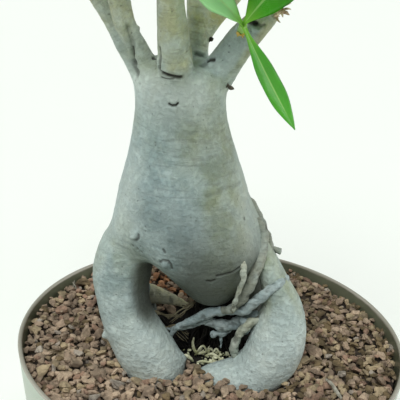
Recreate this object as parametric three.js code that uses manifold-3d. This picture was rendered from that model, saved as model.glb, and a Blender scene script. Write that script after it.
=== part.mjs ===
// A potted desert rose: a round pot filled with potting mix and topped with lava grit, a swollen stem standing
// on thick bare roots, and short thick branches that end in rosettes of leaves.
// Millimetres, +Z up. The origin is the centre of the pot's underside, and the photographed side faces -Y.
import * as THREE from "three";
import { mergeVertices } from "three/addons/utils/BufferGeometryUtils.js";
import Module from "manifold-3d";

const wasm = await Module();
wasm.setup();

// Driving dimensions
const CLEARANCE = 0.3;
const pot = { rimRadius: 130, baseRadius: 112, height: 150, wall: 3, floor: 6, footEdge: 3, sides: 44 };
const drain = { holes: 6, holeRadius: 6, ringRadius: 55, sides: 12 };
const mix = { top: 123 };
const grit = { top: 135, pitch: 20.5, bulge: 3.4, valley: 2.2, flatShare: 0.6, jitter: 0.2, tilt: 0.17 };
// The grit lies higher towards the pot's wall: how much, and the radii where it starts and stops to rise.
const bank = { rise: 8, foot: 76, top: 118 };
const leaf = { length: 72, halfWidth: 9.5, thickness: 1.4, petiole: 1.3, fold: 0.22, bend: 26 };
const shoot = { height: 15, tipRadius: 1.8, footShare: 0.8, sides: 8 };
// The leaves of a rosette, from the lowest to the topmost: rise in degrees, share of the length, place on the shoot.
const lowLeaf = { rise: 8, length: 1, place: 0.25 };
const topLeaf = { rise: 62, length: 0.62, place: 0.92 };
const crowdedRise = 80;
const rosetteSpread = { rise: 8, length: 0.08 };
// How many sides each kind of limb has, and steps between one station and the next.
const facets = { stem: [24, 1], thickRoot: [12, 2], thinRoot: [6, 1], branch: [12, 1], scale: [6, 1] };
const GOLDEN_ANGLE = THREE.MathUtils.degToRad(137.508);

// Colours and finishes
const finish = {
  pot: new THREE.MeshStandardMaterial({ color: 0xa9b3a4, roughness: 0.45, metalness: 0 }),
  mix: new THREE.MeshStandardMaterial({ color: 0x3a2c22, roughness: 1, metalness: 0 }),
  grit: new THREE.MeshStandardMaterial({ color: 0x7d6452, roughness: 0.95, metalness: 0 }),
  bark: new THREE.MeshStandardMaterial({ color: 0x8fa198, roughness: 0.6, metalness: 0 }),
  leaf: new THREE.MeshStandardMaterial({ color: 0x4f9a38, roughness: 0.35, metalness: 0 }),
};

// The swollen stem, from the underside of its belly to the crown.
// A station is [x, y, z, half width, half depth].
const stem = [
  [-2, 4, 174, 4, 4],
  [-2, 4, 175.5, 9, 11],
  [-2.5, 4.5, 180, 15, 18],
  [-3.3, 5.5, 188, 21.7, 25],
  [-5, 6, 196, 28, 31.5],
  [-8.5, 6, 205, 33.5, 37.5],
  [-16, 6, 218, 44.5, 44],
  [-22, 6, 232, 47, 45],
  [-24.6, 6, 248, 42.9, 42],
  [-25.4, 6, 264, 38.6, 38],
  [-27, 6, 280, 34, 34],
  [-29, 6, 296, 30, 31],
  [-30.2, 6, 311, 28.2, 29],
  [-30.8, 6, 326, 28.4, 27.8],
  [-31, 6, 334.5, 25, 24.5],
  [-31, 6, 339, 12, 11.5],
];

// Thick bare roots, from inside the stem down into the mix.
const thickRoots = {
  leftFront: [
    [-46, 8, 240, 12, 13],
    [-54.8, 4, 225, 15, 18],
    [-60, 2, 210, 18, 20.5],
    [-62.3, -1, 194, 19.5, 20.5],
    [-61.2, -6, 180, 17.4, 18.8],
    [-55.7, -11.5, 164, 17.3, 19.5],
    [-46.7, -16.5, 150, 19, 21.3],
    [-38, -19, 137.5, 19, 20],
    [-31, -17, 124, 16, 15],
    [-25, -12, 108, 8, 8],
    [-22, -8, 90, 3, 3],
  ],
  rightFront: [
    [17, 10, 246, 4, 4],
    [22, 8, 232, 6, 9],
    [28, 5, 216, 6.6, 12],
    [34.7, 2, 203, 8.3, 14.5],
    [40.5, -1, 190, 10.4, 16.5],
    [45, -4, 178, 13.5, 17.5],
    [45.3, -8, 167, 17.2, 18.5],
    [43.8, -12.5, 156, 18.5, 19.5],
    [39.9, -16, 145.5, 18.3, 20],
    [30.6, -18.5, 135, 16.3, 20],
    [17.5, -19.5, 129, 13.2, 17],
    [3.5, -20, 127, 11.2, 13],
    [-7, -20, 121.5, 8.6, 9],
    [-14, -14, 108, 3, 3],
  ],
  leftBack: [
    [-42, 20, 216, 14, 15],
    [-56, 26, 196, 13, 14],
    [-61, 33, 176, 12.5, 13],
    [-58, 40, 156, 12, 12.5],
    [-52, 46, 138, 11, 11.5],
    [-46, 49, 120, 7, 8],
    [-42, 50, 104, 3, 3],
  ],
  leftSpur: [
    [-62, 38, 156, 8, 8],
    [-53, 42, 152.5, 9, 9],
    [-44, 43, 150, 8.8, 8.5],
    [-36, 42.5, 149.2, 7.4, 7],
    [-28, 41, 148.6, 5, 4.6],
    [-19, 39.5, 147.5, 2, 2],
  ],
  rightBack: [
    [0, 22, 212, 18, 18],
    [14, 36, 192, 15, 15],
    [22, 47, 172, 13.5, 13.5],
    [24, 53, 154, 14, 14],
    [20, 55, 138, 14, 14],
    [12, 54, 120, 9, 9],
    [6, 52, 100, 3, 3],
  ],
};

// Cord-thin roots that lie along the stem and the thick roots on the right, and under the belly.
const thinRoots = {
  outerStrand: [
    [12, 12, 254, 1.6, 1.6],
    [17, 11, 248, 2.2, 2.2],
    [23, 9, 240, 2.4, 2.4],
    [29, 7, 229, 2.6, 2.6],
    [33, 4.5, 219, 2.4, 2.4],
    [33, 0, 210, 2.2, 2.2],
    [30, -6, 202, 2, 2],
  ],
  creaseStrand: [
    [24, 4, 238, 2, 2],
    [28.5, 0, 228, 3, 2.6],
    [28.5, -5.5, 219, 3.2, 2.8],
    [26.5, -10.5, 211.5, 3.4, 3],
    [22.5, -17.5, 201, 3.4, 3.2],
    [18, -18.5, 190, 3, 3],
    [12, -16, 181, 2.8, 2.8],
    [6, -13, 177, 2.4, 2.4],
  ],
  crossStrand: [
    [46, 2, 197, 2.4, 2.4],
    [43, -7, 199, 2.8, 2.6],
    [38, -14, 198.4, 3, 2.8],
    [29, -16.5, 190.5, 3.4, 3],
    [21, -15.5, 181, 3.6, 3.2],
    [12, -13, 177.5, 3.2, 3],
    [5.6, -11, 175.3, 3.2, 3],
    [-4.2, -10, 171.5, 3.6, 3.2],
    [-12, -9, 166.5, 3.2, 3],
    [-19.6, -8, 160.5, 2.4, 2.4],
    [-25.5, -6, 155, 1.8, 1.8],
    [-30, -2, 140, 1.4, 1.4],
  ],
  knobblyStrand: [
    [-8, -4, 167, 2, 2],
    [-3, -5, 163, 3.6, 3.2],
    [2, -5, 161.5, 3.2, 3],
    [6, -5, 160.5, 4.4, 4],
    [11, -5, 161.2, 3.6, 3.4],
    [15, -5, 163, 4.2, 4],
    [20, -5, 166.5, 3.2, 3],
    [30, -6, 172, 2.6, 2.6],
  ],
  dangling: [
    [14.5, -19, 221.5, 1.4, 1.4],
    [15.6, -23.4, 218.5, 2.4, 2.1],
    [17.4, -25.4, 215.5, 1.5, 1.5],
    [16.4, -26.3, 212.5, 2.2, 1.9],
    [17.3, -26.6, 209, 1.5, 1.5],
    [16, -26.5, 204, 1.8, 1.6],
    [13.9, -25, 193.5, 1.3, 1.3],
    [12.4, -22.5, 184.6, 1.6, 1.6],
    [12.5, -17, 180, 1.6, 1.6],
  ],
  loop: [
    [34, -6, 172, 2.2, 2.2],
    [29, -12, 171, 2.6, 2.6],
    [24, -15, 169.5, 3.2, 3],
    [19.5, -15.5, 163.5, 3, 3],
    [16.5, -15, 157, 2.6, 2.6],
    [15.4, -14.5, 149.5, 3, 3],
    [17.2, -14, 142.4, 2.2, 2.2],
    [19, -13, 134, 1.6, 1.6],
  ],
  stub: [
    [26, 8, 214.5, 2, 2],
    [35.3, 8, 214, 2, 2],
    [41, 8, 212.6, 2, 2],
  ],
};

// Branches from inside the crown outwards. Each one but the pruned right one ends where its green shoot begins.
const branches = {
  leftInner: [
    [-42, 3, 316, 12, 12],
    [-48, 1.5, 330, 8.5, 9],
    [-53, 0, 338.5, 6.3, 7],
    [-56, -1, 345, 5.7, 6.4],
    [-60.5, -2.5, 352, 6, 6.4],
    [-65.2, -3.5, 361, 6.7, 6.8],
    [-69, -5, 376, 6.8, 7],
    [-74, -9, 398, 7, 7],
    [-79, -20, 420, 6.6, 6.6],
    [-86, -36, 440, 6, 6],
  ],
  leftOuter: [
    [-50, 5, 322, 9, 9],
    [-58, 5.5, 334, 6.6, 6.8],
    [-66, 7.5, 345, 5.6, 6],
    [-73, 9.5, 357, 5.8, 6],
    [-83, 12, 371, 6.1, 6.1],
    [-96, 17, 389, 6, 6],
    [-109, 23, 406, 5.8, 5.8],
    [-124, 30, 424, 5.4, 5.4],
  ],
  centreFront: [
    [-33, -4, 318, 11, 11],
    [-33, -10, 330.5, 9.4, 10.4],
    [-33.3, -12.5, 338, 10.5, 11],
    [-34.5, -12.5, 348, 10, 10.4],
    [-35.7, -12.2, 357, 9.6, 9.6],
    [-37, -13, 368, 8.9, 8.9],
    [-38, -14, 378, 8.3, 8.4],
    [-38, -18, 400, 8, 8],
    [-35, -26, 420, 7.4, 7.4],
    [-29, -38, 440, 6.6, 6.6],
    [-22, -52, 458, 6, 6],
  ],
  backRight: [
    [-23, 14, 318, 12, 12],
    [-22.5, 16, 332, 8.4, 9],
    [-22, 18, 345, 6.6, 7],
    [-22.6, 20.5, 358, 7, 6.8],
    [-23.6, 23, 370, 7.2, 6.6],
    [-26, 30, 396, 6.6, 6.6],
    [-31, 44, 422, 6.4, 6.4],
    [-39, 62, 446, 5.8, 5.8],
  ],
  backFork: [
    [-21, 20, 347, 5, 5.5],
    [-15, 24, 357.5, 5.8, 5.8],
    [-6, 31, 369.5, 5.8, 5.8],
    [5, 40, 384, 5.8, 5.8],
    [22, 54, 406, 5.6, 5.6],
    [43, 68, 428, 5.2, 5.2],
  ],
  right: [
    [-22, 5, 316, 14, 14],
    [-11, 4, 328, 11.5, 11.5],
    [-3.2, 3, 341, 10, 10],
    [5, 1, 355, 9.6, 9.6],
    [12.5, -1, 365, 8.4, 8.4],
    [19, -2, 372, 6.8, 6.8],
    [22, -2, 375, 4.4, 4.4],
  ],
  rightFork: [
    [12, 1, 364, 6.6, 6.6],
    [22, 6, 378, 6.4, 6.4],
    [35, 8, 395, 6.2, 6.2],
    [51, 4, 413, 5.8, 5.8],
    [66, -4, 430, 5.4, 5.4],
  ],
};

// Dried scales on the pruned end of the right branch: where each one's tip lies from the branch's end.
const driedScales = [
  [8, -3, 4],
  [6, 2, 9],
  [8, 2, 0],
  [6, -6, 1],
  [3, -5, 8],
];
const scaleGirth = { foot: [2.2, 1.4], middle: [2, 1], tip: [0.5, 0.4], sunk: 0.35 };

// Rosettes at the branch tips: the branch, the number of leaves, their size and the turn of the first one.
const rosettes = {
  leaf_rosette_left_inner: { branch: "leftInner", leaves: 11, scale: 1, turn: 0.4 },
  leaf_rosette_left_outer: { branch: "leftOuter", leaves: 10, scale: 0.9, turn: 1.9 },
  leaf_rosette_centre_front: { branch: "centreFront", leaves: 11, scale: 1, turn: 2.7 },
  leaf_rosette_back_right: { branch: "backRight", leaves: 11, scale: 1, turn: 3.6 },
  leaf_rosette_back_fork: { branch: "backFork", leaves: 10, scale: 0.92, turn: 5.1 },
  leaf_rosette_right_fork: { branch: "rightFork", leaves: 11, scale: 0.95, turn: 4.4 },
};

// A small shoot on the front of the right branch. A leaf's aim runs from its foot to its tip, and it faces its face.
const sideShoot = { foot: [4, -5, 361], tip: [4.4, -18, 368], footRadius: 3, tipRadius: 2.4 };
const sideLeaves = [
  { aim: [33, -22, -53], face: [0.5, -0.8, 0.4], halfWidth: 7, bend: -12 },
  { aim: [-42, -18, 37], face: [0.1, -0.6, 0.8], halfWidth: 14, bend: 18 },
  { aim: [39, -9, 48], face: [-0.2, -0.75, 0.6], halfWidth: 14, bend: 18 },
  { aim: [30, 14, 50], face: [-0.5, -0.7, 0.3], halfWidth: 8, bend: 14 },
];

// Repeatable random numbers from 0 to 1.
function seededRandom(seed) {
  let state = seed;
  return () => {
    state = (Math.imul(state, 1664525) + 1013904223) >>> 0;
    return state / 2 ** 32;
  };
}

function toSolid(geometry) {
  const bare = geometry.clone();
  bare.deleteAttribute("normal");
  bare.deleteAttribute("uv");
  const merged = mergeVertices(bare, 1e-4);
  const mesh = new wasm.Mesh({
    numProp: 3,
    vertProperties: merged.getAttribute("position").array,
    triVerts: new Uint32Array(merged.index.array),
  });
  return new wasm.Manifold(mesh);
}

function toGeometry(solid) {
  const mesh = solid.getMesh();
  const geometry = new THREE.BufferGeometry();
  geometry.setAttribute("position", new THREE.BufferAttribute(mesh.vertProperties, 3));
  geometry.setIndex(new THREE.BufferAttribute(mesh.triVerts, 1));
  geometry.computeVertexNormals();
  return geometry;
}

function joined(solids) {
  return solids.reduce((whole, next) => whole.add(next));
}

// The largest body of a solid, without the loose scraps that a cut leaves.
function largestBody(solid) {
  return solid.decompose().reduce((largest, next) => (next.volume() > largest.volume() ? next : largest));
}

function facedGeometry(points, faces) {
  const geometry = new THREE.BufferGeometry();
  geometry.setAttribute("position", new THREE.Float32BufferAttribute(points.flat(), 3));
  geometry.setIndex(faces.flat());
  return geometry;
}

function middleOf(ring) {
  return [0, 1, 2].map((axis) => ring.reduce((sum, point) => sum + point[axis], 0) / ring.length);
}

// A closed skin over rings of points that run counterclockwise seen from the last end, with a fan over each end.
function skin(rings, lastPoint = middleOf(rings.at(-1))) {
  const around = rings[0].length;
  const lastRing = (rings.length - 1) * around;
  const points = [...rings.flat(), middleOf(rings[0]), lastPoint];
  const faces = [];
  for (let side = 0; side < around; side++) {
    const next = (side + 1) % around;
    faces.push([points.length - 2, next, side]);
    faces.push([points.length - 1, lastRing + side, lastRing + next]);
    for (let start = 0; start < lastRing; start += around) {
      faces.push([start + side, start + next, start + next + around]);
      faces.push([start + side, start + next + around, start + side + around]);
    }
  }
  return toSolid(facedGeometry(points, faces));
}

// A smooth limb through its stations. Its width lies across the view from the front and its depth along that view.
// Grown, it is that much fatter and longer, to cut the hole that it stands in. Its rings stand square to its run, or
// lie level.
function limb(stations, [sides, stepsPerSpan], { grow = 0, level = false } = {}) {
  const places = stations.map(([x, y, z]) => new THREE.Vector3(x, y, z));
  const girths = stations.map(([, , , width, depth]) => new THREE.Vector3(width + grow, depth + grow, 0));
  const line = new THREE.CatmullRomCurve3(places, false, "catmullrom");
  const girth = new THREE.CatmullRomCurve3(girths, false, "catmullrom");
  const front = new THREE.Vector3(0, -1, 0);
  const steps = (stations.length - 1) * stepsPerSpan;
  const rings = [];
  for (let step = 0; step <= steps; step++) {
    const along = level ? new THREE.Vector3(0, 0, 1) : line.getTangent(step / steps);
    const across = new THREE.Vector3().crossVectors(front, along).normalize();
    const deep = new THREE.Vector3().crossVectors(along, across);
    const centre = line.getPoint(step / steps);
    if (step === steps) centre.addScaledVector(along, grow);
    const { x: width, y: depth } = girth.getPoint(step / steps);
    const ring = [];
    for (let side = 0; side < sides; side++) {
      const angle = (2 * Math.PI * side) / sides;
      const point = centre.clone().addScaledVector(across, width * Math.cos(angle));
      ring.push(point.addScaledVector(deep, depth * Math.sin(angle)).toArray());
    }
    rings.push(ring);
  }
  return skin(rings);
}

function rootSolids(grow) {
  const thick = Object.values(thickRoots).map((stations) => limb(stations, facets.thickRoot, { grow }));
  const thin = Object.values(thinRoots).map((stations) => limb(stations, facets.thinRoot, { grow }));
  return [...thick, ...thin];
}

function branchSolids(names, grow = 0) {
  return names.map((name) => limb(branches[name], facets.branch, { grow }));
}

function driedScale(tip) {
  const end = branches.right.at(-1);
  const between = (share) => tip.map((reach, axis) => end[axis] + reach * share);
  const { foot, middle, tip: point, sunk } = scaleGirth;
  return limb([[...between(-sunk), ...foot], [...between(0.5), ...middle], [...between(1), ...point]], facets.scale);
}

// Stem, roots and branches are one living piece.
function caudex() {
  const body = limb(stem, facets.stem, { level: true });
  const arms = branchSolids(Object.keys(branches));
  return toGeometry(joined([body, ...rootSolids(0), ...arms, ...driedScales.map(driedScale)]));
}

// A solid of revolution about Z through [radius, z] points that start and end on the axis.
function turned(profile) {
  const outline = profile.map(([radius, z]) => new THREE.Vector2(radius, z));
  return toSolid(new THREE.LatheGeometry(outline, pot.sides).rotateX(Math.PI / 2));
}

function outerRadius(z) {
  return THREE.MathUtils.mapLinear(z, 0, pot.height, pot.baseRadius, pot.rimRadius);
}

function innerRadius(z) {
  return outerRadius(z) - pot.wall;
}

function potShell() {
  const lip = pot.wall / 2;
  const rim = [0, 1, 2, 3, 4].map((step) => {
    const angle = (Math.PI * step) / 4;
    return [pot.rimRadius - lip + lip * Math.cos(angle), pot.height - lip + lip * Math.sin(angle)];
  });
  const shell = turned([
    [0, 0],
    [outerRadius(0) - pot.footEdge, 0],
    [outerRadius(pot.footEdge), pot.footEdge],
    ...rim,
    [innerRadius(pot.floor + pot.footEdge), pot.floor + pot.footEdge],
    [innerRadius(pot.floor) - pot.footEdge, pot.floor],
    [0, pot.floor],
  ]);
  const bores = [];
  for (let hole = 0; hole < drain.holes; hole++) {
    const angle = (2 * Math.PI * hole) / drain.holes;
    const bore = new THREE.CylinderGeometry(drain.holeRadius, drain.holeRadius, 4 * pot.floor, drain.sides);
    bore.rotateX(Math.PI / 2);
    bore.translate(drain.ringRadius * Math.cos(angle), drain.ringRadius * Math.sin(angle), 0);
    bores.push(toSolid(bore));
  }
  return toGeometry(shell.subtract(joined(bores)));
}

function pottingMix(rootHoles) {
  const bottom = pot.floor + CLEARANCE;
  const top = mix.top - CLEARANCE;
  const bed = turned([
    [0, bottom],
    [innerRadius(bottom) - pot.footEdge - CLEARANCE, bottom],
    [innerRadius(pot.floor + pot.footEdge) - CLEARANCE, pot.floor + pot.footEdge],
    [innerRadius(top) - CLEARANCE, top],
    [0, top],
  ]);
  return toGeometry(bed.subtract(rootHoles));
}

// How much higher the grit lies here than in the middle of the pot.
function bankAt(x, y) {
  return bank.rise * THREE.MathUtils.smoothstep(Math.hypot(x, y), bank.foot, bank.top);
}

// The grit's grains stand on a jittered honeycomb. Each has its own height and tilt, and meets the next in a valley.
function honeycomb() {
  const random = seededRandom(7);
  const spread = (amount) => (2 * random() - 1) * amount;
  const reach = Math.ceil(pot.rimRadius / grit.pitch) + 1;
  const grains = new Map();
  for (let row = -reach; row <= reach; row++) {
    for (let column = -reach; column <= reach; column++) {
      const x = (column + (row & 1) / 2 + spread(grit.jitter)) * grit.pitch;
      const y = (row * Math.sqrt(3 / 4) + spread(grit.jitter)) * grit.pitch;
      const top = grit.top + bankAt(x, y) + random() * grit.bulge;
      grains.set(`${column},${row}`, { column, row, x, y, top, tiltX: spread(grit.tilt), tiltY: spread(grit.tilt) });
    }
  }
  return grains;
}

function gritSurface() {
  const grains = honeycomb();
  const points = [];
  const faces = [];
  for (const grain of grains.values()) {
    const shift = grain.row & 1;
    const steps = [[1, 0], [shift, 1], [shift - 1, 1], [-1, 0], [shift - 1, -1], [shift, -1]];
    const around = steps.map(([dx, dy]) => grains.get(`${grain.column + dx},${grain.row + dy}`));
    if (around.includes(undefined)) continue;
    const first = points.length;
    around.forEach((one, index) => {
      const two = around[(index + 1) % 6];
      const x = (grain.x + one.x + two.x) / 3;
      const y = (grain.y + one.y + two.y) / 3;
      const offX = (x - grain.x) * grit.flatShare;
      const offY = (y - grain.y) * grit.flatShare;
      points.push([grain.x + offX, grain.y + offY, grain.top + offX * grain.tiltX + offY * grain.tiltY]);
      points.push([x, y, grit.top + bankAt(x, y) - grit.valley]);
    });
    for (let corner = 0; corner < 12; corner += 2) {
      const here = first + corner;
      const next = first + ((corner + 2) % 12);
      faces.push([here, here + 1, next + 1], [here, next + 1, next]);
      if (corner > 0 && corner < 10) faces.push([first, here, next]);
    }
  }
  return { points, faces };
}

// Closes an open surface that looks up down to a flat underside, with a wall below each of its outer edges.
function thickened({ points, faces }, bottom) {
  const surface = mergeVertices(facedGeometry(points, faces), 1e-3);
  const place = surface.getAttribute("position");
  const index = [...surface.index.array];
  const below = place.count;
  const ends = new Map();
  for (let at = 0; at < index.length; at++) {
    const to = at % 3 === 2 ? at - 2 : at + 1;
    ends.set(`${index[at]},${index[to]}`, [index[at], index[to]]);
  }
  const tops = Array.from({ length: below }, (_, vertex) => new THREE.Vector3().fromBufferAttribute(place, vertex));
  const all = [...tops.map(({ x, y, z }) => [x, y, z]), ...tops.map(({ x, y }) => [x, y, bottom])];
  const closed = [];
  for (let at = 0; at < index.length; at += 3) {
    const [a, b, c] = index.slice(at, at + 3);
    closed.push([a, b, c], [c + below, b + below, a + below]);
  }
  for (const [a, b] of ends.values()) {
    if (!ends.has(`${b},${a}`)) closed.push([b, a, a + below], [b, a + below, b + below]);
  }
  return toSolid(facedGeometry(all, closed));
}

function lavaGrit(rootHoles) {
  const room = turned([
    [0, mix.top],
    [innerRadius(mix.top) - CLEARANCE, mix.top],
    [innerRadius(pot.height) - CLEARANCE, pot.height],
    [0, pot.height],
  ]);
  const bed = thickened(gritSurface(), mix.top - 1).intersect(room);
  return toGeometry(largestBody(bed.subtract(rootHoles)));
}

// Half the width of a leaf at a share of its length. It is narrow at its foot and widest past its middle.
function leafHalfWidth(share, halfWidth) {
  return Math.max(leaf.petiole, halfWidth * Math.sin(Math.PI * share ** 1.25) ** 0.85);
}

// A leaf blade with a thick midrib, folded up along it and arched from its foot to its tip.
function blade({ foot, aim, face, halfWidth, bend }) {
  const length = aim.length();
  const along = aim.clone().normalize();
  const up = face.clone().addScaledVector(along, -face.dot(along)).normalize();
  const side = new THREE.Vector3().crossVectors(up, along);
  const turn = THREE.MathUtils.degToRad(bend);
  const place = (share, out, over) => {
    const angle = turn * (share - 0.5);
    const forward = (length * (Math.sin(angle) + Math.sin(turn / 2))) / turn;
    const lift = (length * (Math.cos(angle) - Math.cos(turn / 2))) / turn;
    const point = foot.clone().addScaledVector(along, forward + over * Math.sin(angle));
    return point.addScaledVector(up, lift + over * Math.cos(angle)).addScaledVector(side, out).toArray();
  };
  const rings = [0, 0.2, 0.5, 0.8].map((share) => {
    const out = leafHalfWidth(share, halfWidth);
    const half = leaf.thickness / 2;
    const raised = out * leaf.fold;
    return [place(share, out, raised), place(share, 0, half), place(share, -out, raised), place(share, 0, -half)];
  });
  return skin(rings, place(1, 0, 0));
}

// How far a leaf may reach before it passes halfway to a neighbouring shoot.
function room(aim, neighbours) {
  const rooms = neighbours.map((neighbour) => {
    const towards = aim.dot(neighbour) / neighbour.length();
    return towards > 0 ? (neighbour.length() / 2 - leaf.halfWidth) / towards : Infinity;
  });
  return Math.min(...rooms);
}

// The direction at a turn about +Z and a rise above the level, in degrees.
function heading(azimuth, rise) {
  const steepness = THREE.MathUtils.degToRad(rise);
  const level = Math.cos(steepness);
  return new THREE.Vector3(level * Math.cos(azimuth), level * Math.sin(azimuth), Math.sin(steepness));
}

// A shoot along +Z with leaves a golden angle apart, the lowest ones the longest and the most spread. Where a
// neighbour is near they stand steeper and stay short of it.
function rosette({ leaves, scale, turn }, footRadius, neighbours, seed) {
  const random = seededRandom(seed);
  const { lerp } = THREE.MathUtils;
  const foot = footRadius * shoot.footShare;
  const ends = [[0, 0, 0, foot, foot], [0, 0, shoot.height, shoot.tipRadius, shoot.tipRadius]];
  const blades = [];
  for (let index = 0; index < leaves; index++) {
    const rank = index / (leaves - 1);
    const azimuth = turn + index * GOLDEN_ANGLE;
    const growth = 1 + rosetteSpread.length * (2 * random() - 1);
    const wanted = leaf.length * scale * growth * lerp(lowLeaf.length, topLeaf.length, rank);
    const easyRise = lerp(lowLeaf.rise, topLeaf.rise, rank) + rosetteSpread.rise * random();
    const free = Math.min(1, room(heading(azimuth, easyRise), neighbours) / wanted);
    const aim = heading(azimuth, lerp(crowdedRise, easyRise, free));
    const length = Math.min(wanted, room(aim, neighbours));
    const start = new THREE.Vector3(0, 0, shoot.height * lerp(lowLeaf.place, topLeaf.place, rank));
    const halfWidth = leaf.halfWidth * (0.2 + (0.85 * length) / leaf.length);
    const face = new THREE.Vector3(0, 0, 1);
    blades.push(blade({ foot: start, aim: aim.setLength(length), face, halfWidth, bend: leaf.bend }));
  }
  return toGeometry(joined([limb(ends, [shoot.sides, 2]), ...blades]));
}

function sideShootSolid() {
  const { foot, tip, footRadius, tipRadius } = sideShoot;
  const core = limb([[...foot, footRadius, footRadius], [...tip, tipRadius, tipRadius]], [shoot.sides, 1]);
  const blades = sideLeaves.map(({ aim, face, halfWidth, bend }) => {
    const start = new THREE.Vector3(...tip);
    return blade({ foot: start, aim: new THREE.Vector3(...aim), face: new THREE.Vector3(...face), halfWidth, bend });
  });
  const bark = branchSolids(["right", "rightFork"], CLEARANCE);
  return toGeometry(joined([core, ...blades]).subtract(joined(bark)));
}

function part(name, geometry, material) {
  const mesh = new THREE.Mesh(geometry, material);
  mesh.name = name;
  return mesh;
}

// Where each rosette stands: its foot a clearance beyond the end of its branch, its shoot in line with the branch.
function rosetteMounts() {
  const mounts = {};
  for (const [name, { branch }] of Object.entries(rosettes)) {
    const [before, end] = branches[branch].slice(-2).map(([x, y, z]) => new THREE.Vector3(x, y, z));
    const along = end.clone().sub(before).normalize();
    const position = end.clone().addScaledVector(along, CLEARANCE);
    const quaternion = new THREE.Quaternion().setFromUnitVectors(new THREE.Vector3(0, 0, 1), along);
    mounts[name] = { position, quaternion };
  }
  return mounts;
}

function foliage() {
  const mounts = rosetteMounts();
  const group = new THREE.Group();
  Object.entries(rosettes).forEach(([name, shape], index) => {
    const { position, quaternion } = mounts[name];
    const turnedBack = quaternion.clone().invert();
    const others = Object.values(mounts).filter((other) => other !== mounts[name]);
    const neighbours = others.map((other) => other.position.clone().sub(position).applyQuaternion(turnedBack));
    const footRadius = branches[shape.branch].at(-1)[3];
    const mesh = part(name, rosette(shape, footRadius, neighbours, index + 1), finish.leaf);
    mesh.position.copy(position);
    mesh.quaternion.copy(quaternion);
    group.add(mesh);
  });
  group.add(part("leaf_side_shoot", sideShootSolid(), finish.leaf));
  return group;
}

const rootHoles = joined(rootSolids(CLEARANCE));
const plant = new THREE.Group();
plant.add(part("caudex", caudex(), finish.bark), foliage());

const desertRose = new THREE.Group();
desertRose.add(part("pot", potShell(), finish.pot));
desertRose.add(part("potting_mix", pottingMix(rootHoles), finish.mix));
desertRose.add(part("lava_grit", lavaGrit(rootHoles), finish.grit));
desertRose.add(plant);
export default desertRose;
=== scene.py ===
"""A potted desert rose: a swollen grey stem on thick bare roots, short branches that end in rosettes of
glossy leaves, and a round glazed pot topped with crushed lava. The tables of the plant's limbs are in
millimetres, as the plant is measured. Every object is made in metres."""
import math
import random

import bmesh
import bpy
import numpy as np
from bpy.props import FloatProperty, FloatVectorProperty, IntProperty, PointerProperty
from mathutils import Matrix, Quaternion, Vector, noise
from mathutils.bvhtree import BVHTree


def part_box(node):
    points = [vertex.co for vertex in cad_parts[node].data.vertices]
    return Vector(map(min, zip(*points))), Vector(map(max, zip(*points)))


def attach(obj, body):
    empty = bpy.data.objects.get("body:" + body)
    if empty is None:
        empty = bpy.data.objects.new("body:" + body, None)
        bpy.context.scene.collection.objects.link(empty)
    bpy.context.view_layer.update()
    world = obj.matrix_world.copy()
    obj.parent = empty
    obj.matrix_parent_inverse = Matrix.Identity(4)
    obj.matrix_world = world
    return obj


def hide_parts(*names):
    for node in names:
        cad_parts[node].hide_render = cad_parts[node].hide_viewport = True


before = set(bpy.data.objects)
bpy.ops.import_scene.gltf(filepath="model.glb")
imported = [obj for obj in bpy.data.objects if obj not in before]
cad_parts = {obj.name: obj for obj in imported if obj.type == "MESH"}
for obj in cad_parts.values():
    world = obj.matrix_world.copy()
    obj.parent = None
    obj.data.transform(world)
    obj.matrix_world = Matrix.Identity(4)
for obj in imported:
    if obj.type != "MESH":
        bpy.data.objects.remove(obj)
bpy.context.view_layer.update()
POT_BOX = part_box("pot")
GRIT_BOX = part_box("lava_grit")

bl_info = {
    "name": "Potted desert rose",
    "version": (1, 0, 0),
    "blender": (4, 5, 0),
    "location": "View3D > Sidebar > Desert rose",
    "description": "Builds a desert rose with its roots, leaves, lava grit and glazed pot",
    "category": "Add Mesh",
}

MM = 0.001
GOLDEN_ANGLE = math.radians(137.508)

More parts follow.
